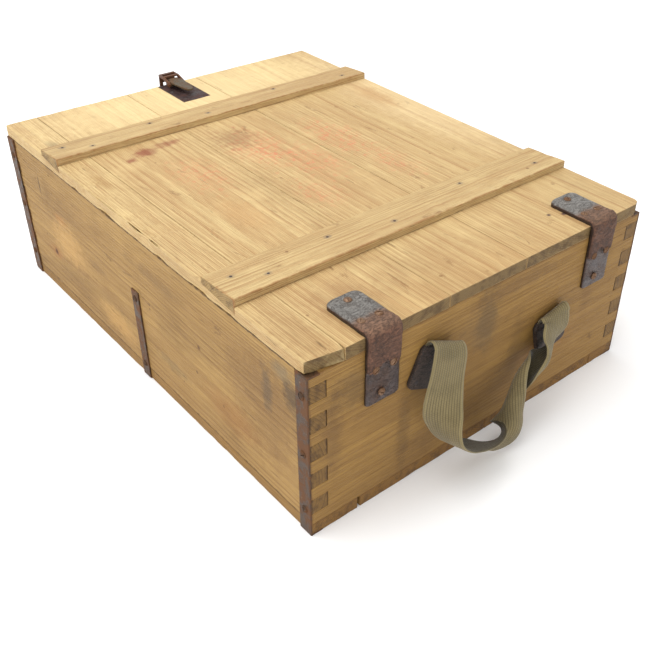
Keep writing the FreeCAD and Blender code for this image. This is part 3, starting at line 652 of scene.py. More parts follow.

# Stains, and on the lid some painted shade: centre, size, colour, strength, raggedness, in millimetres.
LID_SPOTS = {
    "lid_board_1": (
        ((-201, 205, 198), (10, 22, 5), GREY, 0.5, 1.0),
        # Painted shade over the front of the lid.
        ((-200, -255, 198), (26, 70, 6), (150, 112, 70), 0.4, 1.0),
        ((-200, 90, 198), (9, 30, 5), (150, 110, 60), 0.5, 0.8),
    ),
    "lid_board_2": (
        ((-128, 128, 198), (20, 14, 6), RED, 0.75, 1.3),
        ((-150, 118, 198), (9, 8, 6), RED, 0.7, 1.2),
        ((-96, 134, 198), (24, 10, 6), RED, 0.6, 1.4),
        ((-110, 40, 198), (40, 70, 6), PINK, 0.55, 1.6),
        ((-120, -60, 198), (26, 60, 6), (190, 144, 92), 0.35, 0.9),
        # Painted shade over the front of the lid.
        ((-140, -240, 198), (50, 44, 6), (150, 110, 70), 0.4, 1.2),
    ),
    "lid_board_3": (
        ((-20, 60, 198), (46, 80, 6), PINK, 0.8, 2.0),
        ((10, -10, 198), (40, 60, 6), PINK, 0.7, 2.0),
        ((-30, -70, 198), (30, 50, 6), PINK, 0.55, 2.0),
        ((-28, 96, 198), (34, 40, 6), (136, 100, 64), 0.5, 1.4),
        ((-30, -240, 198), (60, 40, 6), (160, 122, 78), 0.3, 1.2),
    ),
    "lid_board_4": (
        ((70, 30, 198), (36, 80, 6), PINK, 0.7, 2.0),
        ((80, -60, 198), (30, 60, 6), PINK, 0.55, 2.0),
        ((134, -262, 198), (4, 4, 6), (70, 44, 52), 0.9, 0.4),
        ((120, -254, 198), (3.5, 3.5, 6), (70, 44, 52), 0.9, 0.4),
        ((190, 100, 198), (22, 70, 6), (170, 120, 66), 0.45, 1.0),
    ),
}
# Painted light and shade on the lid: lighter towards the far end and the right side, painted shade
# across the front.
LID_LIGHT_AND_SHADE = (
    ((0, 250, 198), (300, 130, 40), (250, 226, 170), 0.5, 0.5),
    ((210, 60, 198), (70, 260, 40), (244, 220, 172), 0.35, 0.6),
    ((-60, -296, 198), (240, 70, 40), (176, 136, 84), 0.3, 0.7),
)
SIDE_SPOTS = (
    ((-220, -258, 168), (6, 20, 14), GREY, 0.7, 0.9),
    ((-220, -230, 110), (8, 80, 90), (112, 80, 46), 0.45, 1.1),
    ((-220, -60, 52), (6, 46, 10), (104, 88, 62), 0.4, 1.2),
    ((-220, 96, 96), (6, 30, 8), (110, 82, 50), 0.4, 1.2),
    ((-220, -120, 112), (6, 4, 4), KNOT, 0.8, 0.6),
    ((-220, 60, 34), (6, 5, 4), KNOT, 0.7, 0.6),
    ((-220, -170, 60), (6, 60, 30), (150, 96, 44), 0.3, 1.0),
    ((-220, 214, 62), (6, 26, 14), (158, 104, 50), 0.5, 0.8),
    ((-220, 214, 62), (6, 6, 6), KNOT, 1.0, 0.5),
    ((-220, 180, 120), (6, 26, 10), (178, 116, 60), 0.3, 1.1),
    ((-220, 170, 90), (6, 60, 40), (214, 170, 104), 0.4, 1.1),
    ((-220, 60, 40), (6, 56, 26), (206, 162, 96), 0.4, 1.1),
    ((-220, 226, 146), (6, 2, 18), (50, 34, 20), 0.9, 0.8),
    ((-220, -235, 134), (6, 12, 36), (84, 72, 58), 0.55, 1.3),
    ((-220, -272, 150), (6, 16, 22), (64, 54, 44), 0.6, 1.3),
    ((-220, -40, 150), (6, 80, 10), (120, 92, 56), 0.45, 1.0),
)
END_SPOTS = (
    ((-20, -296, 140), (40, 6, 34), (120, 92, 56), 0.5, 1.0),
    ((90, -296, 70), (60, 6, 26), (150, 104, 56), 0.3, 1.2),
    ((-170, -296, 150), (34, 6, 30), (92, 70, 44), 0.5, 1.4),
    ((-196, -296, 110), (16, 6, 70), (96, 68, 40), 0.4, 1.3),
    ((-60, -296, 40), (70, 6, 24), (104, 76, 44), 0.35, 1.3),
    ((-112, -296, 66), (12, 6, 70), (88, 64, 36), 0.4, 1.1),
    ((-8, -296, 150), (22, 6, 60), (88, 72, 50), 0.45, 1.2),
    ((40, -296, 96), (14, 6, 60), (104, 78, 44), 0.35, 1.2),
    ((150, -296, 120), (14, 6, 60), (112, 80, 44), 0.35, 1.2),
    ((30, -296, 172), (90, 6, 12), (112, 82, 48), 0.5, 1.0),
)


def turned_spots(spots):
    """The same stains on the opposite board: the chest turned by half a turn."""
    return tuple(((-x, -y, z), *rest) for (x, y, z), *rest in spots)


def lid_chips(place):
    """Chips are deep on the left edge and the ends of the lid, and shallow elsewhere."""
    return 1.0 if place.x < LID_EDGE_X or abs(place.y) > LID_EDGE_Y else 0.2


class FOOTLOCKER_OT_boards(bpy.types.Operator):
    """Make the worn pine boards of the box, the bottom and the lid"""
    bl_idname = "footlocker.boards"
    bl_label = "Boards"

    def execute(self, context):
        wood = context.scene.footlocker_wood
        lid, lid_dark = tuple(wood.lid), tuple(wood.lid_dark)
        side, side_dark = tuple(wood.side), tuple(wood.side_dark)
        end, end_dark, grime = tuple(wood.end), tuple(wood.end_dark), tuple(wood.grime)
        radius = wood.edge_radius
        seam = [light * 0.55 + dark * 0.45 for light, dark in zip(lid, lid_dark)]

        piths = ((-0.30, 0, 0.10), (-0.13, 0, 0.30), (0.02, 0, 0.02), (0.16, 0, 0.33))
        for number, pith in enumerate(piths, start=1):
            node = f"lid_board_{number}"
            outer = number == 1
            material = wood_material(
                node, lid, lid_dark, grime, "Y", pith, (1.9 + 0.3 * (number % 3)) * MM, 0.3,
                wobble=11 * MM, contrast=0.6, edge_colour=lid if outer else seam, edge_strength=0.4,
                edge_width=(4.5 if outer else 1.3) * MM, spots=LID_LIGHT_AND_SHADE + LID_SPOTS[node],
                end_tone=0.33, line_strength=0.42)
            worn_piece(node, material, "lid", "wood_lid", radius, chips=(3.2 if outer else 0.8) * MM,
                       chip_where=lid_chips)

        for node, pith in (("lid_batten_hinge", (-0.19, 0, 0.16)),
                           ("lid_batten_latch", (0.21, 0, 0.25))):
            low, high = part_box(node)
            middle = (low.y + high.y) / 2 / MM
            nails = tuple(((x, middle + shift, 204), (6, 5, 6), INK, 0.4, 0.9)
                          for x, shift in BATTEN_NAILS)
            material = wood_material(
                node, tuple(value * 0.94 for value in lid), lid_dark, grime, "X", pith, 2.1 * MM, 0.35,
                wobble=11 * MM, contrast=0.65, edge_colour=lid_dark, spots=nails)
            worn_piece(node, material, "lid", "wood_batten", radius * 2, chips=1.4 * MM)

        for node, pith, spots in (("side_board_left", (-0.31, 0, 0.07), SIDE_SPOTS),
                                  ("side_board_right", (0.32, 0, 0.12), turned_spots(SIDE_SPOTS))):
            material = wood_material(
                node, side, side_dark, grime, "Y", pith, 3.0 * MM, 0.55, wobble=16 * MM,
                edge_strength=0.8, spots=spots, end_tone=0.5)
            worn_piece(node, material, "box", "wood_side", radius)

        for node, pith, spots in (("end_board_hinge", (-0.37, 0, 0.1), END_SPOTS),
                                  ("end_board_latch", (0.36, 0, 0.06), turned_spots(END_SPOTS))):
            material = wood_material(
                node, end, end_dark, grime, "X", pith, 2.8 * MM, 0.45, wobble=16 * MM, contrast=0.55,
                edge_colour=end_dark, spots=spots, end_tone=0.55)
            worn_piece(node, material, "box", "wood_end", radius)

        for number in range(1, 5):
            node = f"bottom_board_{number}"
            material = wood_material(
                node, end, end_dark, grime, "Y", (0.11 * number - 0.25, 0, -0.05), 2.6 * MM, 0.5,
                edge_colour=end_dark, end_tone=0.75)
            worn_piece(node, material, "box", "wood_bottom", radius * 2, chips=1.2 * MM)
        return {"FINISHED"}


# --- steel straps

class FOOTLOCKER_OT_straps(bpy.types.Operator):
    """Make the rusted straps on the corners and along the sides"""
    bl_idname = "footlocker.straps"
    bl_label = "Steel straps"

    def execute(self, context):
        metal = context.scene.footlocker_metal
        material = steel_material("strap_rusted", tuple(metal.strap), tuple(metal.rust), amount=0.85,
                                  chips=0.7)
        names = [f"corner_strap_{end}_{side}"
                 for end in ("hinge", "latch") for side in ("left", "right")]
        for node in names + ["mid_strap_left", "mid_strap_right"]:
            worn_piece(node, material, "box", "rusty_strap", 0.4 * MM, wander=0.25 * MM)
        return {"FINISHED"}


# --- screws and nails

def head_tree(name, slotted):
    """Geometry Nodes tree that puts a domed head on every point, facing its 'facing' attribute."""
    tree = bpy.data.node_groups.new(name, "GeometryNodeTree")
    face = tree.interface
    face.new_socket("Geometry", in_out="INPUT", socket_type="NodeSocketGeometry")
    for label, default in (("Head Radius", 4 * MM), ("Head Height", 2 * MM), ("Slot Width", SLOT_WIDTH)):
        face.new_socket(label, in_out="INPUT", socket_type="NodeSocketFloat").default_value = default
    face.new_socket("Material", in_out="INPUT", socket_type="NodeSocketMaterial")
    face.new_socket("Geometry", in_out="OUTPUT", socket_type="NodeSocketGeometry")
    graph = Graph(tree)
    source = tree.nodes.new("NodeGroupInput").outputs
    sink = tree.nodes.new("NodeGroupOutput").inputs
    ball = graph.add("GeometryNodeMeshUVSphere", {
        "Segments": 28, "Rings": 14, "Radius": source["Head Radius"]})
    ratio = graph.math("DIVIDE", source["Head Height"], source["Head Radius"])
    dome = graph.add("GeometryNodeTransform", {
        "Geometry": ball.outputs["Mesh"], "Scale": graph.combine(1.0, 1.0, ratio)}).outputs[0]
    if slotted:
        length = graph.math("MULTIPLY", source["Head Radius"], 2.6)
        bar = graph.add("GeometryNodeMeshCube", {
            "Size": graph.combine(length, source["Slot Width"], source["Head Height"])}).outputs["Mesh"]
        raised = graph.add("GeometryNodeTransform", {
            "Geometry": bar, "Translation": graph.combine(0.0, 0.0, source["Head Height"])}).outputs[0]
        dome = graph.add("GeometryNodeMeshBoolean", {"Mesh 1": dome, "Mesh 2": raised},
                         operation="DIFFERENCE", solver="EXACT").outputs["Mesh"]

    def named(attribute, kind):
        return graph.add("GeometryNodeInputNamedAttribute", {"Name": attribute},
                         data_type=kind).outputs[0]

    aligned = graph.add("FunctionNodeAlignRotationToVector", {"Vector": named("facing", "FLOAT_VECTOR")},
                        axis="Z").outputs[0]
    turned = graph.add("FunctionNodeAxisAngleToRotation", {
        "Axis": (0.0, 0.0, 1.0), "Angle": named("spin", "FLOAT")}).outputs[0]
    rotation = graph.add("FunctionNodeRotateRotation", {"Rotation": aligned, "Rotate By": turned},
                         rotation_space="LOCAL").outputs[0]
    points = graph.add("GeometryNodeMeshToPoints", {"Mesh": source["Geometry"]}).outputs[0]
    copies = graph.add("GeometryNodeInstanceOnPoints", {
        "Points": points, "Instance": dome, "Rotation": rotation}).outputs[0]
    real = graph.add("GeometryNodeRealizeInstances", {"Geometry": copies}).outputs[0]
    shaded = graph.add("GeometryNodeSetShadeSmooth", {
        "Geometry": real, "Shade Smooth": not slotted}).outputs[0]
    coated = graph.add("GeometryNodeSetMaterial", {
        "Geometry": shaded, "Material": source["Material"]}).outputs[0]
    graph.feed(sink["Geometry"], coated)
    return tree


def heads(name, tree, places, material, radius, height):
    """Plain mesh of heads at places: (point, direction, spin in degrees), in millimetres."""
    points, directions, spins = zip(*places)
    mesh = bpy.data.meshes.new(name + "_points")
    mesh.from_pydata([[c * MM for c in point] for point in points], [], [])
    facing = mesh.attributes.new("facing", "FLOAT_VECTOR", "POINT")
    facing.data.foreach_set("vector", [c for direction in directions for c in direction])
    spin = mesh.attributes.new("spin", "FLOAT", "POINT")
    spin.data.foreach_set("value", [math.radians(degrees) for degrees in spins])
    carrier = bpy.data.objects.new(name + "_carrier", mesh)
    bpy.context.scene.collection.objects.link(carrier)
    modifier = carrier.modifiers.new("Heads", "NODES")
    modifier.node_group = tree
    values = {"Head Radius": radius, "Head Height": height, "Slot Width": SLOT_WIDTH,
              "Material": material}
    for item in tree.interface.items_tree:
        if item.item_type == "SOCKET" and item.in_out == "INPUT" and item.name in values:
            modifier[item.identifier] = values[item.name]
    graph = bpy.context.evaluated_depsgraph_get()
    result = bpy.data.meshes.new_from_object(carrier.evaluated_get(graph))
    bpy.data.objects.remove(carrier)
    for attribute in ("facing", "spin"):
        if attribute in result.attributes:
            result.attributes.remove(result.attributes[attribute])
    result.name = name
    obj = bpy.data.objects.new(name, result)
    bpy.context.scene.collection.objects.link(obj)
    return obj


# Screws in a hinge strap: shift across it, distance from the chest's edge, and spin in degrees.
END_LEAF_SCREWS = ((-10, 23, 30), (10, 23, 50), (-2, 51, -35))
TOP_LEAF_SCREWS = ((-10, 16, 40), (9, 15, -25), (1, 47, 60))
HINGE_MIDDLES = (-142, 154)
# Heights of the head middles above the wood, in millimetres.
ON_STRAP, ON_TOP_LEAF, ON_END_LEAF, ON_TORN_LEAF, ON_PATCH = 1.8, 4.3, 4.6, 3.6, 4.6
TORN_BELOW = 40
BATTEN_TOP, BATTEN_SLOPE = 6.5, 0.056
BATTENS = ((-192, 54), (155, 42))   # near edge and width
LATCH_MIDDLE = 2.5
# Screws: height and spin, or shift and spin.
CORNER_SCREWS, CORNER_SCREWS_IN = ((163, 35), (98, -60), (30, 20)), 8
MID_SCREWS, MID_STRAP_Y = ((104, 15), (18, 75)), 4
CATCH_SCREWS, CATCH_SCREWS_Z = ((-8, 25), (8, -40)), 150
# Nails in the bottom along the ends and the sides, and how far in and how deep they sit.
END_NAILS, END_NAILS_IN = (-190, -174, -140, -30, 40, 150, 188), 9
SIDE_NAILS, SIDE_NAILS_IN = (-220, -110, 100, 210), 6
IN_BOTTOM = 0.25
BASE_NAILS = ((-13, 237), (13, 237), (-14, 268), (14, 268))
PATCH_NAILS = ((-14, 15), (14, 15), (-14, -15), (14, -15))


class FOOTLOCKER_OT_fasteners(bpy.types.Operator):
    """Make the slotted screws and the flat nails"""
    bl_idname = "footlocker.fasteners"
    bl_label = "Screws and nails"

    def execute(self, context):
        metal = context.scene.footlocker_metal
        half_width, half_length = HALF_WIDTH / MM, HALF_LENGTH / MM
        rim, lid_top = RIM / MM, LID_TOP / MM
        slotted, flat = head_tree("Slotted heads", True), head_tree("Flat heads", False)
        strap, rust = tuple(metal.strap), tuple(metal.rust)
        dull = steel_material("screw_dull", tuple(metal.screw), rust, amount=0.5, chips=0.6,
                              metallic=0.7)
        rusty = steel_material("screw_rusty", strap, rust, amount=0.8, chips=0.8, metallic=0.5)
        iron = steel_material("nail_dark", linear(70, 64, 64), linear(96, 66, 50), amount=0.4, chips=0.3)

        out = half_width + ON_STRAP
        corner = [((sx * out, sy * (half_length - CORNER_SCREWS_IN), z), (sx, 0, 0), spin)
                  for sx in (-1, 1) for sy in (-1, 1) for z, spin in CORNER_SCREWS]
        middle = [((sx * out, MID_STRAP_Y, z), (sx, 0, 0), spin)
                  for sx in (-1, 1) for z, spin in MID_SCREWS]
        on_lid = [((x + shift, back - half_length, lid_top + ON_TOP_LEAF), (0, 0, 1), spin)
                  for x in HINGE_MIDDLES for shift, back, spin in TOP_LEAF_SCREWS]
        on_box = [((x + shift, -half_length - (ON_END_LEAF if drop < TORN_BELOW else ON_TORN_LEAF),
                    rim - drop), (0, -1, 0), spin)
                  for x in HINGE_MIDDLES for shift, drop, spin in END_LEAF_SCREWS]
        catch = [((LATCH_MIDDLE + shift, half_length + ON_STRAP, CATCH_SCREWS_Z), (0, 1, 0), spin)
                 for shift, spin in CATCH_SCREWS]
        radius = metal.head_radius
        for name, places, material, body, node in (
            ("corner_screw_heads", corner, rusty, "box", "corner_strap_screws"),
            ("mid_screw_heads", middle, rusty, "box", "mid_strap_screws"),
            ("hinge_screw_heads_lid", on_lid, dull, "lid", "hinge_screws_lid"),
            ("hinge_screw_heads_box", on_box, dull, "box", "hinge_screws_box"),
            ("catch_screw_heads", catch, rusty, "box", "latch_catch_screws"),
        ):
            piece = heads(name, slotted, places, material, radius, radius / 2)
            hand_in(piece, body, "screw_steel", node)

        below = [((x, sy * (half_length - END_NAILS_IN), IN_BOTTOM), (0, 0, -1), 0)
                 for sy in (-1, 1) for x in END_NAILS]
        below += [((sx * (half_width - SIDE_NAILS_IN), y, IN_BOTTOM), (0, 0, -1), 0)
                  for sx in (-1, 1) for y in SIDE_NAILS]
        battens = [((x, near + width / 2 + shift, lid_top + BATTEN_TOP - BATTEN_SLOPE * shift),
                    (0, BATTEN_SLOPE, 1), 0)
                   for near, width in BATTENS for x, shift in BATTEN_NAILS]
        plate = [((LATCH_MIDDLE + shift, y, lid_top), (0, 0, 1), 0) for shift, y in BASE_NAILS]
        patches = []
        for end_sign in (-1, 1):
            for x, z, lean in PATCHES:
                turn = Matrix.Rotation(math.radians(lean), 3, "Y")
                for across, up in PATCH_NAILS:
                    spot = turn @ Vector((across, 0, up)) + Vector((x, 0, z))
                    patches.append(((-end_sign * spot.x, end_sign * (half_length + ON_PATCH), spot.z),
                                    (0, end_sign, 0), 0))
        for name, places, size, height, body, node in (
            ("bottom_nail_heads", below, metal.nail_radius, 0.35 * MM, "box", "bottom_nails"),
            ("batten_nail_heads", battens, 1.4 * MM, 0.35 * MM, "lid", "lid_batten_nails"),
            ("plate_nail_heads", plate, 2.3 * MM, 0.8 * MM, "lid", "latch_base_nails"),
            ("patch_nail_heads", patches, 2.3 * MM, 0.9 * MM, "box", "handle_patch_nails"),
        ):
            hand_in(heads(name, flat, places, iron, size, height), body, "nail_iron", node)
        return {"FINISHED"}


# --- leather hinges

HINGE_WIDTH = 38 * MM
ON_LID, BELOW_RIM = 55 * MM, 61 * MM    # how far a strap reaches over the lid and down the end
BEND_RADIUS = 4 * MM
LEAF_CORNER, LOW_CORNER = 6 * MM, 2 * MM
EDGE_GAP = 0.4 * MM                     # the strap stands this far off the end board
EDGE_WANDER = 0.4 * MM
SCREW_DIP, SCREW_DIP_RADIUS = 1.3 * MM, 4.8 * MM
FOLD_PLACE, FOLD_SPREAD = 6 * MM, 11 * MM
FOLD_HEIGHT, RIDGE_HEIGHT = 0.9 * MM, 0.28 * MM
TORN_ABOVE_FOLD, TORN_BELOW_FOLD = 15 * MM, 36 * MM
PLY_STEP, TORN_FADE = 0.28 * MM, 1.4 * MM


def strap_height(x, along, top_run, ply, seed):
    """Thickness of the strap and how torn it is at a point on its face."""
    place = Vector((x * 90 + seed, along * 90, seed * 0.7))
    wave = noise.noise(place * 0.6) * 0.35 + noise.noise(place * 2.2) * 0.2
    thick = 2 * ply + wave * 0.5 * MM
    bend = math.exp(-((along - top_run - FOLD_PLACE) / FOLD_SPREAD) ** 2)
    ridges = math.sin((along * 0.9 + x * 0.5) * 900 + 2.0 * noise.noise(place * 0.8))
    thick += bend * (FOLD_HEIGHT + RIDGE_HEIGHT * ridges)
    ragged = noise.noise(Vector((x * 160 + seed, 0.3, seed))) * 4 * MM
    ragged += noise.noise(Vector((x * 600 + seed, 1.3, seed))) * 1.6 * MM
    scallops = 5 * MM * math.cos(x / (HINGE_WIDTH / 2) * math.pi * 1.5)
    bottom = top_run + TORN_BELOW_FOLD + ragged - scallops
    top = top_run - TORN_ABOVE_FOLD + ragged * 0.7
    outer = 1 / (1 + math.exp((along - bottom) / PLY_STEP))
    torn = outer / (1 + math.exp(-(along - top) / TORN_FADE))
    return thick - (1 - outer) * ply * 0.9, torn


def strap_inset(along, total, seed):
    """How far the strap's side edge stands in from its full width, with rounded corners."""
    inset = 0.0
    if along < LEAF_CORNER:
        inset = LEAF_CORNER - math.sqrt(LEAF_CORNER ** 2 - (LEAF_CORNER - along) ** 2)
    left = total - along
    if left < LOW_CORNER:
        inset = LOW_CORNER - math.sqrt(max(0.0, LOW_CORNER ** 2 - (LOW_CORNER - left) ** 2))
    return inset + EDGE_WANDER * noise.noise(Vector((along * 120, seed, 0.5)))


def hinge_strap(name, middle, ply, material, seed):
    """Leather strap over the lid's end as one closed mesh, bent round the edge."""
    above_rim = LID_TOP - RIM
    top_run = ON_LID - BEND_RADIUS
    arc = BEND_RADIUS * math.pi / 2
    total = top_run + arc + BELOW_RIM + above_rim - BEND_RADIUS
    screws = [(shift * MM, ON_LID - back * MM) for shift, back, spin in TOP_LEAF_SCREWS]
    screws += [(shift * MM, top_run + arc + above_rim - BEND_RADIUS + drop * MM)
               for shift, drop, spin in END_LEAF_SCREWS]

    def path(along):
        """Point in the YZ plane on the strap's under face, and the direction out of it."""
        if along <= top_run:
            return Vector((-HALF_LENGTH + ON_LID - along, LID_TOP)), Vector((0.0, 1.0))
        if along <= top_run + arc:
            angle = (along - top_run) / BEND_RADIUS
            out = Vector((-math.sin(angle), math.cos(angle)))
            centre = Vector((-HALF_LENGTH + BEND_RADIUS - EDGE_GAP, LID_TOP - BEND_RADIUS + EDGE_GAP))
            return centre + out * BEND_RADIUS, out
        drop = along - top_run - arc
        return Vector((-HALF_LENGTH - EDGE_GAP, LID_TOP - BEND_RADIUS - drop)), Vector((-1.0, 0.0))

    rows, outline = 150, strap_outline(40)
    rings, torn_values, side_values = [], [], []
    for row in range(rows + 1):
        along = total * row / rows
        inset = strap_inset(along, total, seed)
        point, out = path(along)
        ring = []
        for share, above in outline:
            x = share * (HINGE_WIDTH / 2 - inset)
            lift, torn = 0.15 * MM, 0.0
            if above > 0:
                lift, torn = strap_height(x, along, top_run, ply, seed)
                lift *= 1 - 0.28 * abs(share) ** 14
                for screw_x, screw_along in screws:
                    gap = math.hypot(x - screw_x, along - screw_along)
                    lift -= SCREW_DIP * math.exp(-(gap / SCREW_DIP_RADIUS) ** 2)
            spot = point + out * lift
            ring.append((middle * MM + x, spot.x, spot.y))
            torn_values.append(torn)
            side_values.append(0.0 if above > 0 else 1.0)
        rings.append(ring)
    return strap_object(name, rings, material, {"torn": torn_values, "side": side_values})


class FOOTLOCKER_OT_hinges(bpy.types.Operator):
    """Make the two leather hinge straps"""
    bl_idname = "footlocker.hinges"
    bl_label = "Leather hinges"

    def execute(self, context):
        leather = context.scene.footlocker_leather
        material = hinge_leather_material(tuple(leather.fibre), tuple(leather.smooth))
        for side, middle, seed in (("left", HINGE_MIDDLES[0], 2.3), ("right", HINGE_MIDDLES[1], 8.9)):
            strap = hinge_strap(f"leather_hinge_{side}", middle, leather.ply, material, seed)
            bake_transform(strap)
            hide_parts(f"hinge_strap_{side}")
        return {"FINISHED"}


# --- handles

PATCHES = ((-84, 131, 24), (90, 91, -14))

# Stations of the webbing on the hinge end: middle, direction across the webbing from its left
# edge to its right edge, and how far it is rolled up into a tube there, from 0 to 1.
WEBBING = (
    ((-86, -298.2, 127), (0.91, 0, -0.41), 0), ((-77, -298.2, 147), (0.91, 0, -0.41), 0),
    ((-73.5, -301.5, 155), (0.91, -0.1, -0.38), 0), ((-73, -308, 157), (0.92, -0.15, -0.33), 0),
    ((-75, -314, 149), (0.94, -0.2, -0.25), 0), ((-83, -319, 125), (0.95, -0.25, -0.1), 0),
    ((-91, -325, 102), (0.8, -0.55, 0.03), 0), ((-93, -330, 84), (0.33, -0.91, 0.26), 0),
    ((-89, -334, 68), (0.08, -0.97, 0.25), 0), ((-78, -336, 56), (0.09, -0.97, 0.21), 0),
    ((-62, -336, 47), (0.14, -0.97, 0.21), 0), ((-44, -335, 38), (0.22, -0.93, 0.29), 0.05),
    ((-26, -333, 29), (0.34, -0.73, 0.6), 0.12), ((-9, -331, 23), (0.05, 0.07, 1), 0.25),
    ((4, -327, 27), (-0.55, 0.76, 0.35), 0.5), ((13, -323, 40), (-0.13, 0.98, -0.13), 0.85),
    ((22, -321, 54), (0.47, 0.78, -0.42), 1), ((30, -319, 66), (0.74, 0.17, -0.66), 1),
    ((40, -318, 75), (0.47, -0.57, -0.67), 1), ((51, -317, 79), (0.15, -0.98, -0.16), 0.9),
    ((61, -316, 82), (-0.12, -0.89, 0.45), 0.7), ((70, -315, 88), (-0.56, -0.48, 0.68), 0.4),
    ((77, -312, 98), (-0.82, -0.14, 0.55), 0.2),
    ((84, -310, 109), (-0.96, 0.05, 0.1), 0.05), ((85.5, -306, 118), (-0.97, 0, -0.24), 0),
    ((86, -301.5, 119), (-0.97, 0, -0.24), 0), ((87, -298.2, 110), (-0.97, 0, -0.24), 0),
    ((91, -298.2, 92), (-0.97, 0, -0.24), 0),
)
ROLL_RADIUS = 8.6 * MM
ROLL_SKEW = math.tan(math.radians(28))
ROLL_WIDENING = 0.13
RIB_HEIGHT = 0.3 * MM
ROUNDED_FROM, SELVAGE_FROM = 0.96, 0.88     # shares of the half width


def smooth_run(values, share, index):
    """Catmull-Rom value between index and index + 1."""
    last = len(values) - 1
    a, b = values[max(index - 1, 0)], values[index]
    c, d = values[min(index + 1, last)], values[min(index + 2, last)]
    t, t2, t3 = share, share * share, share ** 3
    return (b * 2 + (c - a) * t + (a * 2 - b * 5 + c * 4 - d) * t2 + (b * 3 - a - c * 3 + d) * t3) * 0.5


def webbing_strap(name, end_sign, width, thickness, material):
    """Ribbon through the stations with rounded selvages and its own UV map in metres."""
    middles = [Vector(middle) * MM for middle, across, roll in WEBBING]
    acrosses = [Vector(across).normalized() for middle, across, roll in WEBBING]
    rolls = [Vector((roll, 0)) for middle, across, roll in WEBBING]
    per_span, outline = 10, strap_outline(40)
    stations = [[smooth_run(values, part / per_span, index) for values in (middles, acrosses, rolls)]
                for index in range(len(middles) - 1) for part in range(per_span)]
    stations.append([middles[-1], acrosses[-1], rolls[-1]])
    last = len(stations) - 1
    rings, travelled, selvage, inner, uvs = [], 0.0, [], [], []
    for row, (centre, side, roll) in enumerate(stations):
        roll = min(max(roll.x, 0.001), 1.0)
        widened = 1 + roll * ROLL_WIDENING
        if row:
            travelled += (centre - stations[row - 1][0]).length * widened
        tangent = stations[min(row + 1, last)][0] - stations[max(row - 1, 0)][0]
        outward = tangent.cross(side).normalized()
        side = outward.cross(tangent).normalized()
        bend = roll / ROLL_RADIUS
        ring = []
        for share, lift in outline:
            reach = share * width / 2
            angle = reach * widened * bend
            point = centre + outward * (ROLL_RADIUS * roll - (1 - math.cos(angle)) / bend)
            point += side * (math.sin(angle) / bend)
            away = outward * math.cos(angle) + side * math.sin(angle)
            edge = max(0.0, (abs(share) - ROUNDED_FROM) / (1 - ROUNDED_FROM))
            rib = RIB_HEIGHT * abs(math.sin(reach / RIB * math.pi))
            half = (thickness / 2 - RIB_HEIGHT / 2 + rib) * (1 - 0.7 * edge ** 2)
            point += away * lift * half
            ring.append((-end_sign * point.x, -end_sign * point.y, point.z))
            # selvage marks the edges that get a painted highlight in the webbing material.
            selvage.append(1.0 if abs(share) > SELVAGE_FROM else 0.0)
            # inner marks the inner face, which gets painted shade in the webbing material.
            inner.append(1.0 if lift < 0 else 0.0)
            uvs.append((reach, travelled + reach * ROLL_SKEW * roll))
        rings.append(ring)
    return strap_object(name, rings, material, {"selvage": selvage, "inner": inner}, uvs)


class FOOTLOCKER_OT_handles(bpy.types.Operator):
    """Make the webbing handles and the leather patches over their ends"""
    bl_idname = "footlocker.handles"
    bl_label = "Handles"

    def execute(self, context):
        webbing = context.scene.footlocker_webbing
        cloth = webbing_material(tuple(webbing.thread), tuple(webbing.shade))
        hide = patch_leather_material(tuple(context.scene.footlocker_leather.patch))
        for end, end_sign in (("hinge", -1), ("latch", 1)):
            strap = webbing_strap(f"webbing_{end}", end_sign, webbing.width, webbing.thickness, cloth)
            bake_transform(strap)
            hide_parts(f"handle_webbing_{end}")
            for side in ("left", "right"):
                worn_piece(f"handle_patch_{end}_{side}", hide, "box", "patch_leather", 1.6 * MM,
                           prefix="leather", wander=0.5 * MM, step=4 * MM)
        return {"FINISHED"}


# --- latch

class FOOTLOCKER_OT_latch(bpy.types.Operator):
    """Make the lever latch"""
    bl_idname = "footlocker.latch"
    bl_label = "Latch"

    def execute(self, context):
        metal = context.scene.footlocker_metal
        plate = steel_material("latch_plate_plum", tuple(metal.latch), linear(92, 58, 50), amount=0.5,
                               chips=0.3)
        lever = steel_material("latch_lever_olive", linear(92, 78, 56), linear(112, 76, 48), amount=0.6,
                               chips=0.4)
        link = steel_material("latch_link_rust", linear(98, 62, 44), tuple(metal.rust))
        for node, body, material, slot_name in (
            ("latch_base_plate", "lid", plate, "latch_plate_metal"),
            ("latch_catch_plate", "box", plate, "latch_plate_metal"),
            ("latch_pivot_pin", "lid", link, "latch_pin_metal"),
            ("latch_lever", "latch_lever", lever, "latch_metal"),
            ("latch_link_pin", "latch_lever", link, "latch_pin_metal"),
            ("latch_link", "latch_link", link, "latch_metal"),
        ):
            worn_piece(node, material, body, slot_name, 0.3 * MM, wander=0.05 * MM, step=6 * MM)
        return {"FINISHED"}


# --- stage

CAMERA_PLACE = (-0.5439, -0.7388, 0.6359)
CAMERA_LENS, CAMERA_SHIFT = 49.28, (-0.0807, -0.0093)
FLOOR_SIZE = 12


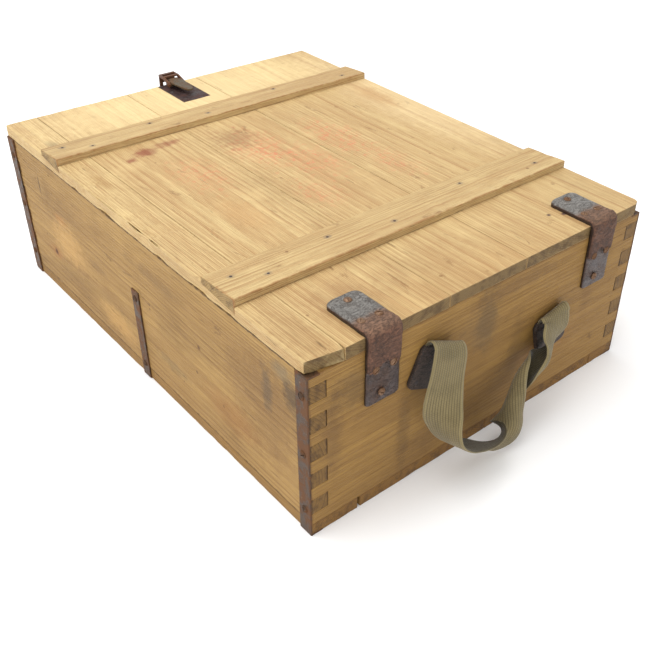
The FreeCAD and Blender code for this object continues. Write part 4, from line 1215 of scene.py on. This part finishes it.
class FOOTLOCKER_OT_stage(bpy.types.Operator):
    """Make the floor, the soft light and the camera"""
    bl_idname = "footlocker.stage"
    bl_label = "Stage"

    def execute(self, context):
        scene = context.scene
        settings = scene.footlocker_stage
        bm = bmesh.new()
        bmesh.ops.create_grid(bm, x_segments=2, y_segments=2, size=FLOOR_SIZE)
        material, _, shader = new_material("floor_pale")
        shader.inputs["Base Color"].default_value = rgba(settings.floor)
        shader.inputs["Roughness"].default_value = 0.9
        shader.inputs["Specular IOR Level"].default_value = 0.0
        floor = mesh_object("floor", bm, material)

        world = bpy.data.worlds.new("soft_white")
        world.use_nodes = True
        background = world.node_tree.nodes["Background"]
        background.inputs["Color"].default_value = (1, 1, 1, 1)
        background.inputs["Strength"].default_value = settings.sky
        scene.world = world

        for name, place, size, power in (
            ("key", (-0.9, 0.5, 2.6), 2.4, settings.key),
            ("fill", (-2.4, -1.4, 1.6), 2.2, settings.key * 0.35),
        ):
            light = bpy.data.lights.new(name, "AREA")
            light.size = size
            light.energy = power
            lamp = bpy.data.objects.new(name, light)
            lamp.location = place
            lamp.rotation_euler = (-Vector(place)).to_track_quat("-Z", "Y").to_euler()
            scene.collection.objects.link(lamp)

        azimuth, elevation, roll = settings.azimuth, settings.elevation, settings.roll
        back = Vector((math.sin(azimuth) * math.cos(elevation), -math.cos(azimuth) * math.cos(elevation),
                       math.sin(elevation)))
        right = (-back).cross(Vector((0, 0, 1))).normalized()
        up = right.cross(-back)
        tilted_right = right * math.cos(roll) + up * math.sin(roll)
        tilted_up = up * math.cos(roll) - right * math.sin(roll)
        camera_data = bpy.data.cameras.new("camera")
        camera_data.sensor_width = 36
        camera_data.lens = CAMERA_LENS
        camera_data.shift_x, camera_data.shift_y = CAMERA_SHIFT
        camera = bpy.data.objects.new("camera", camera_data)
        turn = Matrix((tilted_right, tilted_up, back)).transposed()
        camera.matrix_world = Matrix.Translation(CAMERA_PLACE) @ turn.to_4x4()
        scene.collection.objects.link(camera)
        scene.camera = camera
        scene.view_settings.view_transform = "Standard"
        return {"FINISHED"}


# --- panel and registration

OPERATORS = (
    FOOTLOCKER_OT_boards,
    FOOTLOCKER_OT_straps,
    FOOTLOCKER_OT_fasteners,
    FOOTLOCKER_OT_hinges,
    FOOTLOCKER_OT_handles,
    FOOTLOCKER_OT_latch,
    FOOTLOCKER_OT_stage,
)
SETTINGS = (
    ("footlocker_wood", FootlockerWood),
    ("footlocker_leather", FootlockerLeather),
    ("footlocker_metal", FootlockerMetal),
    ("footlocker_webbing", FootlockerWebbing),
    ("footlocker_stage", FootlockerStage),
)


class FOOTLOCKER_PT_panel(bpy.types.Panel):
    """Sizes, colours and build steps of the footlocker"""
    bl_idname = "FOOTLOCKER_PT_panel"
    bl_label = "Footlocker"
    bl_space_type = "VIEW_3D"
    bl_region_type = "UI"
    bl_category = "Footlocker"

    def draw(self, context):
        for attribute, group in SETTINGS:
            part = self.layout.box()
            part.label(text=group.__doc__)
            for name in group.__annotations__:
                part.prop(getattr(context.scene, attribute), name)
        for operator in OPERATORS:
            self.layout.operator(operator.bl_idname)


def register():
    for attribute, group in SETTINGS:
        bpy.utils.register_class(group)
        setattr(bpy.types.Scene, attribute, bpy.props.PointerProperty(type=group))
    for operator in OPERATORS:
        bpy.utils.register_class(operator)
    bpy.utils.register_class(FOOTLOCKER_PT_panel)


def unregister():
    bpy.utils.unregister_class(FOOTLOCKER_PT_panel)
    for operator in reversed(OPERATORS):
        bpy.utils.unregister_class(operator)
    for attribute, group in reversed(SETTINGS):
        delattr(bpy.types.Scene, attribute)
        bpy.utils.unregister_class(group)


def main():
    register()
    make_groups()
    bpy.ops.footlocker.boards()
    bpy.ops.footlocker.straps()
    bpy.ops.footlocker.fasteners()
    bpy.ops.footlocker.hinges()
    bpy.ops.footlocker.handles()
    bpy.ops.footlocker.latch()
    bpy.ops.footlocker.stage()


if __name__ == "__main__":
    main()
